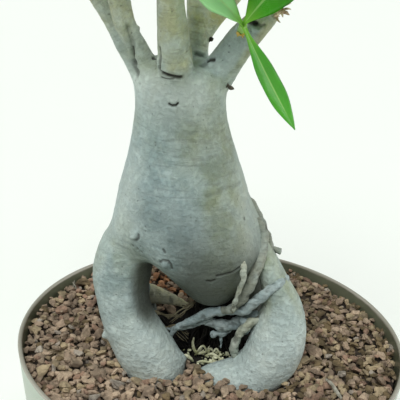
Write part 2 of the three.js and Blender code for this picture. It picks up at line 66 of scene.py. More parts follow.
# Stations of the limbs: x, y, z, half width across the front view and half depth along it, or one number
# for both where the limb is round.
STEM = [
    (-2, 4, 174, 4), (-2, 4, 175.5, 9, 11), (-2.5, 4.5, 180, 15, 18), (-3.3, 5.5, 188, 21.7, 25),
    (-5, 6, 196, 28, 31.5), (-8.5, 6, 205, 33.5, 37.5), (-16, 6, 218, 44.5, 44), (-22, 6, 232, 47, 45),
    (-24.6, 6, 248, 42.9, 42), (-25.4, 6, 264, 38.6, 38), (-27, 6, 280, 34), (-29, 6, 296, 30, 31),
    (-30.2, 6, 311, 28.2, 29), (-30.8, 6, 326, 28.4, 27.8), (-31, 6, 334.5, 25, 24.5),
    (-31, 6, 339, 12, 11.5),
]
THICK_ROOTS = {
    "left_front": [
        (-46, 8, 240, 12, 13), (-54.8, 4, 225, 15, 18), (-60, 2, 210, 18, 20.5),
        (-62.3, -1, 194, 19.5, 20.5), (-61.2, -6, 180, 17.4, 18.8), (-55.7, -11.5, 164, 17.3, 19.5),
        (-46.7, -16.5, 150, 19, 21.3), (-38, -19, 137.5, 19, 20), (-31, -17, 124, 16, 15),
        (-25, -12, 108, 8), (-22, -8, 90, 3),
    ],
    "right_front": [
        (17, 10, 246, 4), (22, 8, 232, 6, 9), (28, 5, 216, 6.6, 12), (34.7, 2, 203, 8.3, 14.5),
        (40.5, -1, 190, 10.4, 16.5), (45, -4, 178, 13.5, 17.5), (45.3, -8, 167, 17.2, 18.5),
        (43.8, -12.5, 156, 18.5, 19.5), (39.9, -16, 145.5, 18.3, 20), (30.6, -18.5, 135, 16.3, 20),
        (17.5, -19.5, 129, 13.2, 17), (3.5, -20, 127, 11.2, 13), (-7, -20, 121.5, 8.6, 9),
        (-14, -14, 108, 3),
    ],
    "left_back": [
        (-42, 20, 216, 14, 15), (-56, 26, 196, 13, 14), (-61, 33, 176, 12.5, 13), (-58, 40, 156, 12, 12.5),
        (-52, 46, 138, 11, 11.5), (-46, 49, 120, 7, 8), (-42, 50, 104, 3),
    ],
    "right_back": [
        (0, 22, 212, 18), (14, 36, 192, 15), (22, 47, 172, 13.5), (24, 53, 154, 14), (20, 55, 138, 14),
        (12, 54, 120, 9), (6, 52, 100, 3),
    ],
}
# What fills the crease between the belly and the left root, and the toe of that root.
MELTED_IN = {
    "shoulder": [
        (-61, 5, 241, 8), (-62, -3, 237, 9), (-60, -9.8, 233, 9.8), (-56.5, -14.4, 229.5, 10),
        (-52.6, -18.2, 226.5, 9.4), (-48, -21.8, 224.2, 8), (-43, -23.5, 222.5, 5.5),
    ],
    "toe": [(-24, -18, 141, 6), (-18.5, -17, 140, 4.4, 4), (-14, -15.5, 139.4, 2.2)],
}
BRANCHES = {
    "left_inner": [
        (-42, 3, 316, 12), (-48, 1.5, 330, 8.5, 9), (-53, 0, 338.5, 6.3, 7), (-56, -1, 345, 5.7, 6.4),
        (-60.5, -2.5, 352, 6, 6.4), (-65.2, -3.5, 361, 6.7, 6.8), (-69, -5, 376, 6.8, 7), (-74, -9, 398, 7),
        (-79, -20, 420, 6.6), (-86, -36, 440, 6),
    ],
    "left_outer": [
        (-50, 5, 322, 9), (-58, 5.5, 334, 6.6, 6.8), (-66, 7.5, 345, 5.6, 6), (-73, 9.5, 357, 5.8, 6),
        (-83, 12, 371, 6.1), (-96, 17, 389, 6), (-109, 23, 406, 5.8), (-124, 30, 424, 5.4),
    ],
    "centre_front": [
        (-33, -4, 318, 11), (-33, -10, 330.5, 9.4, 10.4), (-33.3, -12.5, 338, 10.5, 11),
        (-34.5, -12.5, 348, 10, 10.4), (-35.7, -12.2, 357, 9.6), (-37, -13, 368, 8.9),
        (-38, -14, 378, 8.3, 8.4), (-38, -18, 400, 8), (-35, -26, 420, 7.4), (-29, -38, 440, 6.6),
        (-22, -52, 458, 6),
    ],
    "back_right": [
        (-23, 14, 318, 12), (-22.5, 16, 332, 8.4, 9), (-22, 18, 345, 6.6, 7), (-22.6, 20.5, 358, 7, 6.8),
        (-23.6, 23, 370, 7.2, 6.6), (-26, 30, 396, 6.6), (-31, 44, 422, 6.4), (-39, 62, 446, 5.8),
    ],
    "back_fork": [
        (-21, 20, 347, 5, 5.5), (-15, 24, 357.5, 5.8), (-6, 31, 369.5, 5.8), (5, 40, 384, 5.8),
        (22, 54, 406, 5.6), (43, 68, 428, 5.2),
    ],
    "right": [
        (-22, 5, 316, 14), (-11, 4, 328, 11.5), (-3.2, 3, 341, 10), (5, 1, 355, 9.6), (12.5, -1, 365, 8.4),
        (19, -2, 372, 6.8), (22, -2, 375, 4.4),
    ],
    "right_fork": [
        (12, 1, 364, 6.6), (22, 6, 378, 6.4), (35, 8, 395, 6.2), (51, 4, 413, 5.8), (66, -4, 430, 5.4),
    ],
}
# Cracks, scars and knobs of the skin: a run of places in millimetres, half width, depth and darkness. A
# negative depth raises the skin. The darkness is partly the scars' own dark and partly painted shade in the
# cracks and grooves, with painted shadows under the front branch's foot and beside the knobs.
MARKS = [
    # The crescent under the foot of the front branch: its darkness is a painted shadow cast by that foot.
    ([(-42, -18.5, 338.5), (-40, -20.5, 337.5), (-37.5, -22, 337), (-34.5, -23, 336.5), (-31.5, -23, 336),
      (-29, -22, 336)], 1.1, 1.8, 1),
    ([(-40.4, -19.2, 334.1), (-36.7, -21.9, 334.3), (-33.2, -22.4, 335)], 0.6, 0.5, 0.7),
    ([(-41, -19, 343), (-38.5, -22.5, 340.6), (-34, -23.6, 339.4), (-29.5, -22.8, 339.6),
      (-25.5, -18.5, 342.5)], 3.0, -1.7, 0),
    ([(-35.4, -22, 318.9), (-33.6, -22.1, 318.2), (-31.2, -21.7, 318.5), (-30.1, -21.8, 319.9)],
      0.75, 1.0, 1),
    ([(-34, -22, 316.3), (-31, -22.5, 316.3)], 1.2, -0.7, 0),
    ([(-34.9, -21.6, 321), (-32.5, -22.2, 321.6), (-30.2, -22.4, 321.4)], 1.0, -0.5, 0),
    # The groove between the left branches, in these three runs: its darkness is painted shade.
    ([(-62, -9, 359), (-60.5, -9, 354), (-59.4, -8, 349), (-58.9, -4.5, 343), (-58.4, -2.5, 337.5)],
      1.9, 1.7, 0.3),
    ([(-59.3, -7, 347), (-58.8, -3.7, 342), (-58.4, -1.6, 337)], 1.0, 1.0, 0.8),
    ([(-58.4, -2, 337), (-57.5, -2.7, 333.5), (-56, -4, 331)], 2.6, 1.4, 0.62),
    ([(-47.9, -2.5, 339.7), (-46.6, -0.7, 339.2)], 1.0, 1.2, 0.8),
    ([(-42.4, -17.4, 351), (-41.8, -19.5, 346), (-41.2, -20.5, 341.5), (-41.2, -18.8, 338.4)],
      1.0, 1.5, 0.6),
    ([(-24.5, -14.8, 352), (-23.4, -14.4, 346), (-23.4, -17, 341.7)], 1.0, 1.4, 0.5),
    ([(-22.5, 10.2, 341), (-20.1, 10, 340.3), (-18, 10.6, 340)], 1.2, 1.5, 0.5),
    ([(-15, -0.4, 340.2), (-13.6, -0.9, 341), (-11.1, -3.4, 342.2)], 1.2, 1.3, 0.95),
    ([(-18, -3, 336), (-16, -1.5, 338.5)], 2.4, 0.8, 0.4),
    ([(7.6, -6.5, 368.3), (9.4, -7.9, 367.6), (11.6, -8.8, 367)], 1.8, 1.9, 1),
    ([(11.6, -8.8, 367), (14.5, -9, 366.2), (16.5, -8.4, 366.6)], 1.1, 0.9, 0.6),
    ([(10, -9, 364.8), (13.5, -9.4, 363.3)], 1.2, -0.9, 0),
    ([(-9.5, -28.5, 264.5), (-3, -24, 265.5), (3.5, -17.5, 266.5), (10.5, -6.5, 265.5)], 1.2, 0.5, 0.22),
    ([(15, -13.5, 244.5)], 1.1, 0.6, 0.6),
    ([(-33.5, -37.5, 230.5), (-32.5, -38, 229)], 0.9, 0.5, 0.7),
    ([(-5.5, -34, 209.5), (-3, -33, 209), (-1, -33, 210)], 1.0, 0.8, 0.9),
    ([(0.5, -33.5, 213.5), (5.5, -31.5, 214), (9.5, -29, 214.5), (14, -26.5, 217)], 0.7, 1.0, 0.9),
    ([(-53.6, -28.5, 233.6)], 2.3, -3.8, 0),
    # A dark crescent beside the knob above: painted shadow.
    ([(-55.5, -28.5, 230.8), (-52.8, -30, 230.4), (-50.6, -30.6, 232.6), (-50.8, -30.8, 235.6)],
      0.75, 0.6, 0.7),
    ([(-70, -20, 155)], 2.6, -3.2, 0),
    ([(-53.5, -24.5, 225)], 0.9, 0.6, 0.5),
    ([(-50.5, -26.5, 224)], 0.8, 0.5, 0.5),
    ([(-48, -27.5, 222)], 0.9, 0.6, 0.45),
    ([(-49, -29.5, 227)], 0.7, 0.4, 0.4),
    ([(-32.4, -37, 219.3)], 3.0, -2.8, 0),
    # A dark ring beside the knob above: painted shadow.
    ([(-36, -34.5, 219.5), (-33.5, -36.5, 223), (-30, -38, 223.5), (-28, -37.5, 221),
      (-27.5, -36.5, 217.5)], 0.8, 0.7, 0.75),
    ([(-57.5, -3.5, 358)], 1.6, -1.4, 0.2),
]
# Cord-thin roots by their tone. Each list is a smooth run, as the limbs are.
THIN_ROOTS = {
    "grey": {
        "outer": [
            (12, 12, 254, 1.6), (17, 11, 248, 2.2), (23, 9, 240, 2.4), (29, 7, 229, 2.6),
            (33, 4.5, 219, 2.4), (33, 0, 210, 2.2), (30, -6, 202, 2),
        ],
        "crease": [
            (24, 4, 238, 2), (28.5, 0, 228, 3, 2.6), (28.5, -5.5, 219, 3.2, 2.8),
            (26.5, -10.5, 211.5, 3.4, 3), (22.5, -17.5, 201, 3.4, 3.2), (18, -18.5, 190, 3),
            (12, -16, 181, 2.8), (6, -13, 177, 2.4),
        ],
        "stub": [(26, 8, 214.5, 2), (35.3, 8, 214, 2), (41, 8, 212.6, 2)],
    },
    "blue": {
        "cross": [
            (46, 2, 197, 2.4), (43, -7, 199, 2.8, 2.6), (38, -14, 198.4, 3, 2.8),
            (29, -16.5, 190.5, 3.4, 3), (21, -15.5, 181, 3.6, 3.2), (12, -13, 177.5, 3.2, 3),
            (5.6, -11, 175.3, 3.2, 3), (-4.2, -10, 171.5, 3.6, 3.2), (-12, -9, 166.5, 3.2, 3),
            (-19.6, -8, 160.5, 2.4), (-25.5, -6, 155, 1.8), (-30, -2, 140, 1.4),
        ],
        "knobbly": [
            (-8, -4, 167, 2), (-3, -5, 163, 3.6, 3.2), (2, -5, 161.5, 3.2, 3), (6, -5, 160.5, 4.4, 4),
            (11, -5, 161.2, 3.6, 3.4), (15, -5, 163, 4.2, 4), (20, -5, 166.5, 3.2, 3), (30, -6, 172, 2.6),
        ],
        "twin": [
            (-31, 0, 151, 0.8), (-25, -3, 154.5, 1.6, 1.5), (-18, -5, 157.5, 2.3, 2),
            (-10, -6, 162, 2.4, 2.2), (-2, -8, 167, 1.8),
        ],
        "low_knob": [
            (-1, -5, 153.5, 1.2), (1, -5, 153, 2.6, 2.4), (4, -5, 153.8, 1.6), (7, -5, 154.2, 2.4, 2.2),
            (11, -4, 156, 1.6), (14, -2, 160, 1.2),
        ],
        "drop": [(5.5, -5, 154, 1.2), (6.4, -5, 148.5, 1), (6.8, -4.5, 143, 0.5)],
        "high_knob": [
            (18, -12, 172, 1.2), (21.5, -14, 169, 2.8, 2.6), (22, -13, 163, 2.6, 2.4), (20, -9, 158, 1.2),
        ],
    },
    "white": {
        "spur": [
            (-62, 38, 157, 7), (-53, 42, 154.5, 7.4, 8), (-44, 43, 152.5, 6.6, 7),
            (-36, 42.5, 151.2, 5.2, 5.6), (-28, 41, 149.8, 3.6, 3.8), (-19, 39.5, 148, 1.5, 1.6),
        ],
    },
    "cream": {
        "dangling": [
            (14.5, -19, 221.5, 1.4), (15.6, -23.4, 218.5, 2.4, 2.1), (17.4, -25.4, 215.5, 1.5),
            (16.4, -26.3, 212.5, 2.2, 1.9), (17.3, -26.6, 209, 1.5), (16, -26.5, 204, 1.8, 1.6),
            (13.9, -25, 193.5, 1.3), (12.4, -22.5, 184.6, 1.6), (12.5, -17, 180, 1.6),
        ],
        "loop": [
            (34, -6, 172, 2.2), (29, -12, 171, 2.6), (24, -15, 169.5, 3.2, 3), (19.5, -15.5, 163.5, 3),
            (16.5, -15, 157, 2.6), (15.4, -14.5, 149.5, 3), (17.2, -14, 142.4, 2.2), (19, -13, 134, 1.6),
        ],
    },
}
# Bundles of fine roots: the middle and half size of where they start, the same of where they end, their
# number, their radius and how far they stray.
FINE_ROOTS = {
    # Near-black, under the belly: partly painted shade in the hollow.
    "dark": [
        ((4, 10, 184), (17, 14, 4), (3, 22, 126), (21, 12, 2), 220, 0.75, 4.5),
        ((-30, 30, 134), (14, 14, 4), (-20, 20, 126), (16, 16, 2), 70, 0.6, 5),
    ],
    "brown": [
        ((-41, 16, 154), (1, 2, 1), (-22, 16, 152.5), (1.5, 2, 1.5), 5, 0.5, 1.6),
        ((-13, 14, 165), (1, 2, 1), (-30, 14, 149), (2, 2, 1.5), 5, 0.5, 1.6),
        ((-22, 38, 148.5), (1, 1, 0.5), (-10, 36, 149), (1.5, 2, 1), 3, 0.6, 0.8),
        ((-24, -2, 155), (1, 2, 2), (-34, 2, 150), (2, 3, 2), 8, 0.45, 1.5),
        ((-24, 0, 151), (1, 2, 3), (-17, 0, 146), (1.5, 2, 3.5), 6, 0.4, 1.2),
    ],
}
# A grey stick and a dry blade of grass on the grit.
STRAYS = [
    [
        (77, -29, 140.5, 0.9, 0.8), (79.5, -34, 141.3, 1.4, 1.1), (82, -41, 141.2, 1.5, 1.2),
        (85.5, -48.5, 140.2, 1, 0.8),
    ],
    [(-105.5, 61, 142, 0.5, 0.4), (-105.3, 60.8, 145.5, 0.5, 0.3), (-104.6, 60.4, 148.8, 0.3, 0.2)],
    [(-103, 59.5, 142, 0.4, 0.3), (-104, 59.8, 145, 0.4, 0.3), (-106.5, 60.5, 147.5, 0.2)],
]
# Curled litter on the earth under the belly.
LITTER = [
    [
        (-12.1, 8, 141, 0.5), (-12.6, 8, 136.6, 0.9, 0.7), (-11.6, 8, 131.7, 1.1, 0.8),
        (-8.6, 8, 128.7, 1.2, 0.9), (-3.8, 8, 130, 1.1, 0.8), (-0.4, 8, 131.5, 0.5),
    ],
    [(-10, 8, 127, 0.6, 0.5), (-7.6, 6, 134, 0.8, 0.6), (-5, 6, 136, 0.8, 0.6), (-1.9, 7, 130, 0.6, 0.5)],
    [(-3.5, 4, 129.4, 0.6), (1.2, 4, 131.5, 1.1, 0.8), (6.3, 4, 128.7, 1, 0.8), (8.5, 4, 126.4, 0.6)],
    [(1, 7, 126, 0.5), (2.3, 6, 132, 0.7, 0.6), (4.2, 6, 134.5, 0.7, 0.6), (8, 8, 127, 0.6, 0.5)],
    [(-19, -4, 131, 0.6), (-16.8, -4, 133.5, 1.5, 1.1), (-13.5, -4, 132, 1.3, 1), (-11.5, -3, 129, 0.7)],
    [(-8.5, -4, 129, 0.6), (-5, -6, 131.5, 1.1, 0.8), (-1, -5, 130.5, 0.9, 0.7), (1.5, -2, 127.5, 0.5)],
]
# The rosettes: branch, number of leaves, size and the turn of the first leaf, in the order of their seeds.
ROSETTES = {
    "left_inner": (11, 1.0, 0.4),
    "left_outer": (10, 0.9, 1.9),
    "centre_front": (11, 1.0, 2.7),
    "back_right": (11, 1.0, 3.6),
    "back_fork": (10, 0.92, 5.1),
    "right_fork": (11, 0.95, 4.4),
}
# The shoot in the middle of a rosette, and the gap below it, in millimetres.
SHOOT_HEIGHT = 15
SHOOT_TIP_RADIUS = 1.8
SHOOT_GAP = 0.3
# The first and the last leaf of a rosette: rise in degrees, share of the length, place on the shoot.
LOW_LEAF = (8, 1.0, 0.25)
TOP_LEAF = (62, 0.62, 0.92)
# How steeply a leaf stands that has no room at all, in degrees.
CROWDED_RISE = 80
# The small shoot on the right branch: foot and tip.
SIDE_SHOOT = [(4, -5, 361, 3), (4.4, -18, 368, 2.4)]
# Leaves of the side shoot: from foot to tip, the way the face looks, half width, bend in degrees and youth.
# The full youth of the second leaf stands for its glossy sheen: painted sheen.
SIDE_LEAVES = [
    ((34, -22, -53), (0.5, -0.8, 0.4), 6.8, -12, 0.05),
    ((-42, -18, 37), (0.1, -0.6, 0.8), 14, 18, 1),
    ((37.5, -9, 49), (-0.2, -0.75, 0.6), 15, 18, 0),
    ((30, 14, 50), (-0.5, -0.7, 0.3), 8, 14, 0.4),
]
# The folded blade of a leaf: shares of its length at which it has a ring, points across half of it, and
# the height and half width of its midrib in metres.
BLADE_SHARES = [0, 0.04, 0.08, *np.linspace(0.12, 0.96, 22), 0.985, 1]
BLADE_POINTS = 6
RIB_HEIGHT = 0.0013
RIB_HALF_WIDTH = 0.0012
# The papery bracts on the pruned branch: how many sit on each spot, and the spots.
BRACTS_PER_FOOT = 6
BRACT_FEET = [
    (20, -4, 373), (23, -3, 374), (22, -1, 377), (25, -2, 374), (19, -2, 377), (24, 1, 376),
    (18.5, -6.5, 370), (20.5, -6, 371), (22.5, -5, 371),
]
# Small scales on the bark: their foot, the way from foot to tip, half width and kind.
SCALES = [
    ((2.6, -10.5, 359.5), (-1.5, -1.5, 3), 1, "bud"),
    ((4, -10.5, 359.5), (2.4, -1, 3), 1, "bud"),
    ((-2.5, -4, 327.5), (5, -1, -2), 1.4, "dark"),
    ((-15.5, 18, 348.5), (3, -1, 1.5), 1.5, "dark"),
]


def paint(code):
    """A colour code as it shows on a screen, as linear red, green and blue."""
    shown = [(code >> shift & 255) / 255 for shift in (16, 8, 0)]
    return tuple(c / 12.92 if c <= 0.04045 else ((c + 0.055) / 1.055) ** 2.4 for c in shown)


def shaded(colour, factor):
    return tuple(min(1, factor * c) for c in colour)


def length_setting(name, description, default):
    return FloatProperty(
        name=name, description=description, default=default, min=0, subtype="DISTANCE", unit="LENGTH")


def angle_setting(name, description, degrees):
    return FloatProperty(
        name=name, description=description, default=math.radians(degrees), subtype="ANGLE")


def colour_setting(name, description, code):
    return FloatVectorProperty(
        name=name, description=description, default=paint(code), size=3, min=0, max=1, subtype="COLOR")


class StageSettings(bpy.types.PropertyGroup):
    """The photographed view and the light."""

    distance: length_setting("Distance", "From the camera to the middle of the pot's rim", 0.650)
    elevation: angle_setting("Elevation", "Angle of the camera above the rim", 32.09)
    pitch: angle_setting("Pitch", "Angle by which the camera looks down", 24.09)
    yaw: angle_setting("Yaw", "Angle by which the camera looks aside", -1.46)
    roll: angle_setting("Roll", "Turn of the camera about its own axis", 3.79)
    lens: FloatProperty(name="Lens", description="Focal length on a 36 mm wide sensor, in mm", default=85.1)
    backdrop: colour_setting("Backdrop", "Colour of the floor and the surroundings", 0xF9FEF8)


class PotSettings(bpy.types.PropertyGroup):
    """The glazed pot."""

    wall: length_setting("Wall", "Thickness of the pot's wall", 0.003)
    floor: length_setting("Floor", "Thickness of the pot's floor", 0.006)
    base_radius: length_setting("Base radius", "Radius of the pot where it stands", 0.112)
    drain_radius: length_setting("Drain radius", "Radius of each drain hole", 0.006)
    drain_ring: length_setting("Drain ring", "Radius of the ring on which the drain holes lie", 0.055)
    drains: IntProperty(name="Drain holes", description="Number of drain holes", default=6, min=0)
    glaze: colour_setting("Glaze", "Pale celadon of the outside", 0xB4C1B0)
    broken_glaze: colour_setting("Broken glaze", "Brown-grey of the thin glaze on the rim", 0x9A9588)
    inside: colour_setting("Inside", "Darker glaze of the inner wall", 0x5A5D4B)


class SoilSettings(bpy.types.PropertyGroup):
    """The potting mix and the lava grit."""

    grain: length_setting("Grain", "Middle radius of the lava grains", 0.0028)
    grains: IntProperty(name="Grains", description="Number of grains dropped into the pot", default=11000)
    brown: colour_setting("Brown lava", "Colour of most grains", 0x978470)
    tan: colour_setting("Tan lava", "Colour of the lighter brown grains", 0xA6937D)
    grey: colour_setting("Grey lava", "Colour of the grey grains", 0x9A9184)
    ochre: colour_setting("Ochre lava", "Colour of the yellowish grains", 0x9C8C70)
    red: colour_setting("Red lava", "Colour of the reddish grains", 0x917764)
    umber: colour_setting("Umber lava", "Colour of the dark yellowish grains", 0x6E5F45)
    rust: colour_setting("Rusty lava", "Colour of the orange grains behind the belly", 0xAC7E5A)
    mix: colour_setting("Potting mix", "Dark brown mix below the grit", 0x3A2C22)
    # Almost black: painted shade in the hollow under the belly, over the earth's own dark.
    humus: colour_setting("Humus", "Almost black earth in the hollow under the belly", 0x14120D)


class BarkSettings(bpy.types.PropertyGroup):
    """The skin of stem, roots and branches."""

    voxel: length_setting("Voxel", "Size of the cells in which the limbs grow together", 0.0015)
    blue: colour_setting("Blue-grey", "Cool tone of the skin", 0x869B9A)
    green: colour_setting("Olive", "Green tone of the skin", 0x8C987A)
    # Also the colour of the painted light on the feet, the top of the stem and its lit sides.
    pale: colour_setting("Pale", "Chalky tone of the worn skin", 0xCFDDD6)
    bloom: colour_setting("Bloom", "Waxy blue patches", 0x8FA8AE)
    # Also the painted shade in the cracks and under the arch of the left root.
    dark: colour_setting("Dark", "Cracks and scars", 0x24251C)
    moss: colour_setting("Mossy", "Dark olive of the branches at the back", 0xB2B474)
    # Darkens the stain mask: painted shade under the belly and in the arch of the left root, with some
    # earth stain.
    soiled_and_shaded: colour_setting("Soiled", "Earth-stained underside of the belly", 0x4A5148)
    branch: colour_setting("Branch", "Older olive brown skin of the branches", 0xAEB18A)


class LeafSettings(bpy.types.PropertyGroup):
    """The leaves and the green shoots."""

    length: length_setting("Length", "Length of a large leaf", 0.072)
    half_width: length_setting("Half width", "Half the width of a large leaf", 0.0095)
    thickness: length_setting("Thickness", "Thickness of a blade beside its midrib", 0.0009)
    deep: colour_setting("Deep green", "The upper face of a leaf", 0x44A01C)
    # Also the painted sheen on the second leaf of the side shoot.
    young: colour_setting("Young green", "Light blue-green of a young leaf", 0xB0F0A6)
    fresh: colour_setting("Fresh green", "Young leaves and the foot of each leaf", 0x7DBB3C)
    rib: colour_setting("Midrib", "Midrib and veins", 0xB6DB8E)


class Wiring:
    """Adds nodes to one tree. A socket is fed a plain value or another node's output."""

    def __init__(self, tree):
        self.tree = tree

    def feed(self, socket, value):
        if isinstance(value, bpy.types.NodeSocket):
            self.tree.links.new(value, socket)
        elif socket.type == "RGBA" and len(value) == 3:
            socket.default_value = (*value, 1)
        else:
            socket.default_value = value

    def node(self, kind, sockets=None, out=0, **settings):
        made = self.tree.nodes.new("ShaderNode" + kind)
        for name, value in settings.items():
            setattr(made, name, value)
        for name, value in (sockets or {}).items():
            self.feed(made.inputs[name], value)
        return made.outputs[out]

    def math(self, operation, one, two=0.0):
        return self.node("Math", {0: one, 1: two}, operation=operation)

    def times(self, one, two):
        return self.math("MULTIPLY", one, two)

    def plus(self, one, two):
        return self.math("ADD", one, two)

    def minus(self, one, two):
        return self.math("SUBTRACT", one, two)

    def ramp(self, value, low, high, bottom=0.0, top=1.0):
        """Runs smoothly from bottom to top as the value goes from low to high."""
        sockets = {"Value": value, "From Min": low, "From Max": high, "To Min": bottom, "To Max": top}
        return self.node("MapRange", sockets, interpolation_type="SMOOTHSTEP")

    def blend(self, share, one, two):
        """The first colour at a share of 0, the second one at 1."""
        return self.node("Mix", {0: share, 6: one, 7: two}, out=2, data_type="RGBA")

    def tint(self, colour, mask, strength, tone):
        """The colour, with the tone laid over it where the mask is, up to the strength."""
        return self.blend(self.times(mask, strength), colour, tone)

    def stretched(self, vector, scale):
        return self.node("VectorMath", {0: vector, 1: scale}, operation="MULTIPLY")

    def noise(self, vector, scale, detail=3.0, roughness=0.5):
        sockets = {"Vector": vector, "Scale": scale, "Detail": detail, "Roughness": roughness}
        return self.node("TexNoise", sockets)

    def place(self):
        return self.node("TexCoord", out="Object")

    def attribute(self, name):
        return self.node("Attribute", out="Fac", attribute_name=name)

    def group(self, tree, **sockets):
        """The outputs of a node group that is fed these sockets."""
        made = self.tree.nodes.new("ShaderNodeGroup")
        made.node_tree = tree
        for name, value in sockets.items():
            self.feed(made.inputs[name], value)
        return made.outputs

    def patches(self, vector, scale, contrast):
        return self.group(mottle(), Vector=vector, Scale=scale, Contrast=contrast)["Patches"]

    def spots(self, vector, scale, size, share):
        return self.group(specks(), Vector=vector, Scale=scale, Size=size, Share=share)["Spots"]

    def dress(self, shader, colour, roughness, height, strength, distance):
        """Gives the shader its colour, its roughness and the relief of a height."""
        self.feed(shader["Base Color"], colour)
        self.feed(shader["Roughness"], roughness)
        relief = self.node("Bump", {"Height": height, "Strength": strength, "Distance": distance})
        self.feed(shader["Normal"], relief)


def effect(name, inputs, outputs):
    """A new shader node group with its sockets: the wiring, its inputs by name and its output node."""
    tree = bpy.data.node_groups.new(name, "ShaderNodeTree")
    for label, kind, default in inputs:
        socket = tree.interface.new_socket(name=label, in_out="INPUT", socket_type="NodeSocket" + kind)
        if default is not None:
            socket.default_value = default
    for label, kind in outputs:
        tree.interface.new_socket(name=label, in_out="OUTPUT", socket_type="NodeSocket" + kind)
    entry = tree.nodes.new("NodeGroupInput")
    return Wiring(tree), entry.outputs, tree.nodes.new("NodeGroupOutput").inputs


def mottle():
    """Soft patches at three sizes, from 0 to 1."""
    name = "Mottle"
    if name in bpy.data.node_groups:
        return bpy.data.node_groups[name]
    inputs = [("Vector", "Vector", None), ("Scale", "Float", 20.0), ("Contrast", "Float", 1.0)]
    wiring, given, result = effect(name, inputs, [("Patches", "Float")])
    broad = wiring.noise(given["Vector"], given["Scale"], 2.0)
    fine_scale = wiring.times(given["Scale"], 5.0)
    fine = wiring.noise(given["Vector"], fine_scale, 4.0, 0.6)
    both = wiring.plus(wiring.times(broad, 0.7), wiring.times(fine, 0.3))
    spread = wiring.times(wiring.minus(both, 0.5), given["Contrast"])
    wiring.feed(result["Patches"], wiring.ramp(spread, -0.25, 0.25))
    return wiring.tree


def specks():
    """Small round spots, 1 in the middle of each. Only the given share of the cells has one."""
    name = "Specks"
    if name in bpy.data.node_groups:
        return bpy.data.node_groups[name]
    inputs = [
        ("Vector", "Vector", None), ("Scale", "Float", 300.0),
        ("Size", "Float", 0.3), ("Share", "Float", 0.3),
    ]
    wiring, given, result = effect(name, inputs, [("Spots", "Float")])
    cells = wiring.tree.nodes.new("ShaderNodeTexVoronoi")
    wiring.feed(cells.inputs["Vector"], given["Vector"])
    wiring.feed(cells.inputs["Scale"], given["Scale"])
    chance = wiring.node("SeparateColor", {0: cells.outputs["Color"]})
    chosen = wiring.math("LESS_THAN", chance, given["Share"])
    spot = wiring.ramp(cells.outputs["Distance"], given["Size"], 0.0)
    wiring.feed(result["Spots"], wiring.times(spot, chosen))
    return wiring.tree


def skin_rings():
    """Fine wrinkles that run round a limb. Reach grows along the limb, in metres."""
    name = "Skin rings"
    if name in bpy.data.node_groups:
        return bpy.data.node_groups[name]
    inputs = [("Vector", "Vector", None), ("Reach", "Float", 0.0), ("Scale", "Float", 450.0)]
    wiring, given, result = effect(name, inputs, [("Height", "Float"), ("Lines", "Float")])
    along = wiring.node("SeparateXYZ", {0: given["Vector"]})
    across = wiring.node("SeparateXYZ", {0: given["Vector"]}, out=1)
    ring_place = wiring.node("CombineXYZ", {
        "X": wiring.times(along, 60.0),
        "Y": wiring.times(across, 60.0),
        "Z": wiring.times(given["Reach"], given["Scale"]),
    })
    fine = wiring.noise(ring_place, 1.0, 3.0, 0.6)
    broad = wiring.noise(ring_place, 0.33, 2.0)
    wiring.feed(result["Height"], wiring.plus(wiring.times(fine, 0.6), broad))
    wiring.feed(result["Lines"], wiring.ramp(fine, 0.5, 0.3))
    return wiring.tree


def material(name):
    """A new material: itself, the wiring of its nodes and its shader's sockets."""
    made = bpy.data.materials.new(name)
    made.use_nodes = True
    return made, Wiring(made.node_tree), made.node_tree.nodes["Principled BSDF"].inputs


def full(stations):
    """The stations with both half sizes."""
    return [(*station, station[3])[:5] for station in stations]


def catmull_rom(points, steps):
    """Places and directions on a smooth curve through the points, so many steps from one to the next."""
    points = np.asarray(points, float)
    run = np.vstack([2 * points[0] - points[1], points, 2 * points[-1] - points[-2]])
    places = []
    ways = []
    for first in range(len(points) - 1):
        before, start, end, after = run[first:first + 4]
        leave = (end - before) / 2
        arrive = (after - start) / 2
        square = 3 * (end - start) - 2 * leave - arrive
        cube = 2 * (start - end) + leave + arrive
        last = first == len(points) - 2
        for share in np.linspace(0, 1, steps + last, endpoint=last):
            places.append(start + leave * share + square * share ** 2 + cube * share ** 3)
            ways.append(leave + 2 * square * share + 3 * cube * share ** 2)
    return np.array(places), np.array(ways)


def unit(vectors):
    return vectors / np.linalg.norm(vectors, axis=-1, keepdims=True)


def skin(rings):
    """Points and faces of a closed skin over rings of points, with a fan over each end."""
    count, around = rings.shape[:2]
    points = np.vstack([rings.reshape(-1, 3), rings[0].mean(0), rings[-1].mean(0)])
    side = np.arange(around)
    following = (side + 1) % around
    faces = []
    for ring in range(count - 1):
        low = ring * around
        high = low + around
        faces += np.stack([low + side, low + following, high + following, high + side], 1).tolist()
    last = (count - 1) * around
    faces += [[len(points) - 2, int(b), int(a)] for a, b in zip(side, following)]
    faces += [[len(points) - 1, last + int(a), last + int(b)] for a, b in zip(side, following)]
    return points, faces


def limb(stations, sides, steps, level=False):
    """A smooth limb through its stations, given in millimetres, as points in metres and faces.
    Its rings stand square to its run, or lie level."""
    run, ways = catmull_rom(full(stations), steps)
    run *= MM
    along = np.tile([0.0, 0.0, 1.0], (len(run), 1)) if level else unit(ways[:, :3])
    across = unit(np.cross([0, -1, 0], along))
    deep = np.cross(along, across)
    turns = 2 * np.pi * np.arange(sides) / sides
    wide = run[:, None, 3:4] * np.cos(turns)[:, None] * across[:, None]
    thick = run[:, None, 4:5] * np.sin(turns)[:, None] * deep[:, None]
    return skin(run[:, None, :3] + wide + thick)


def together(shapes):
    """Several shapes, each points and faces, as one."""
    points = []
    faces = []
    count = 0
    for shape_points, shape_faces in shapes:
        points.append(shape_points)
        faces += [[count + corner for corner in face] for face in shape_faces]
        count += len(shape_points)
    return np.vstack(points), faces


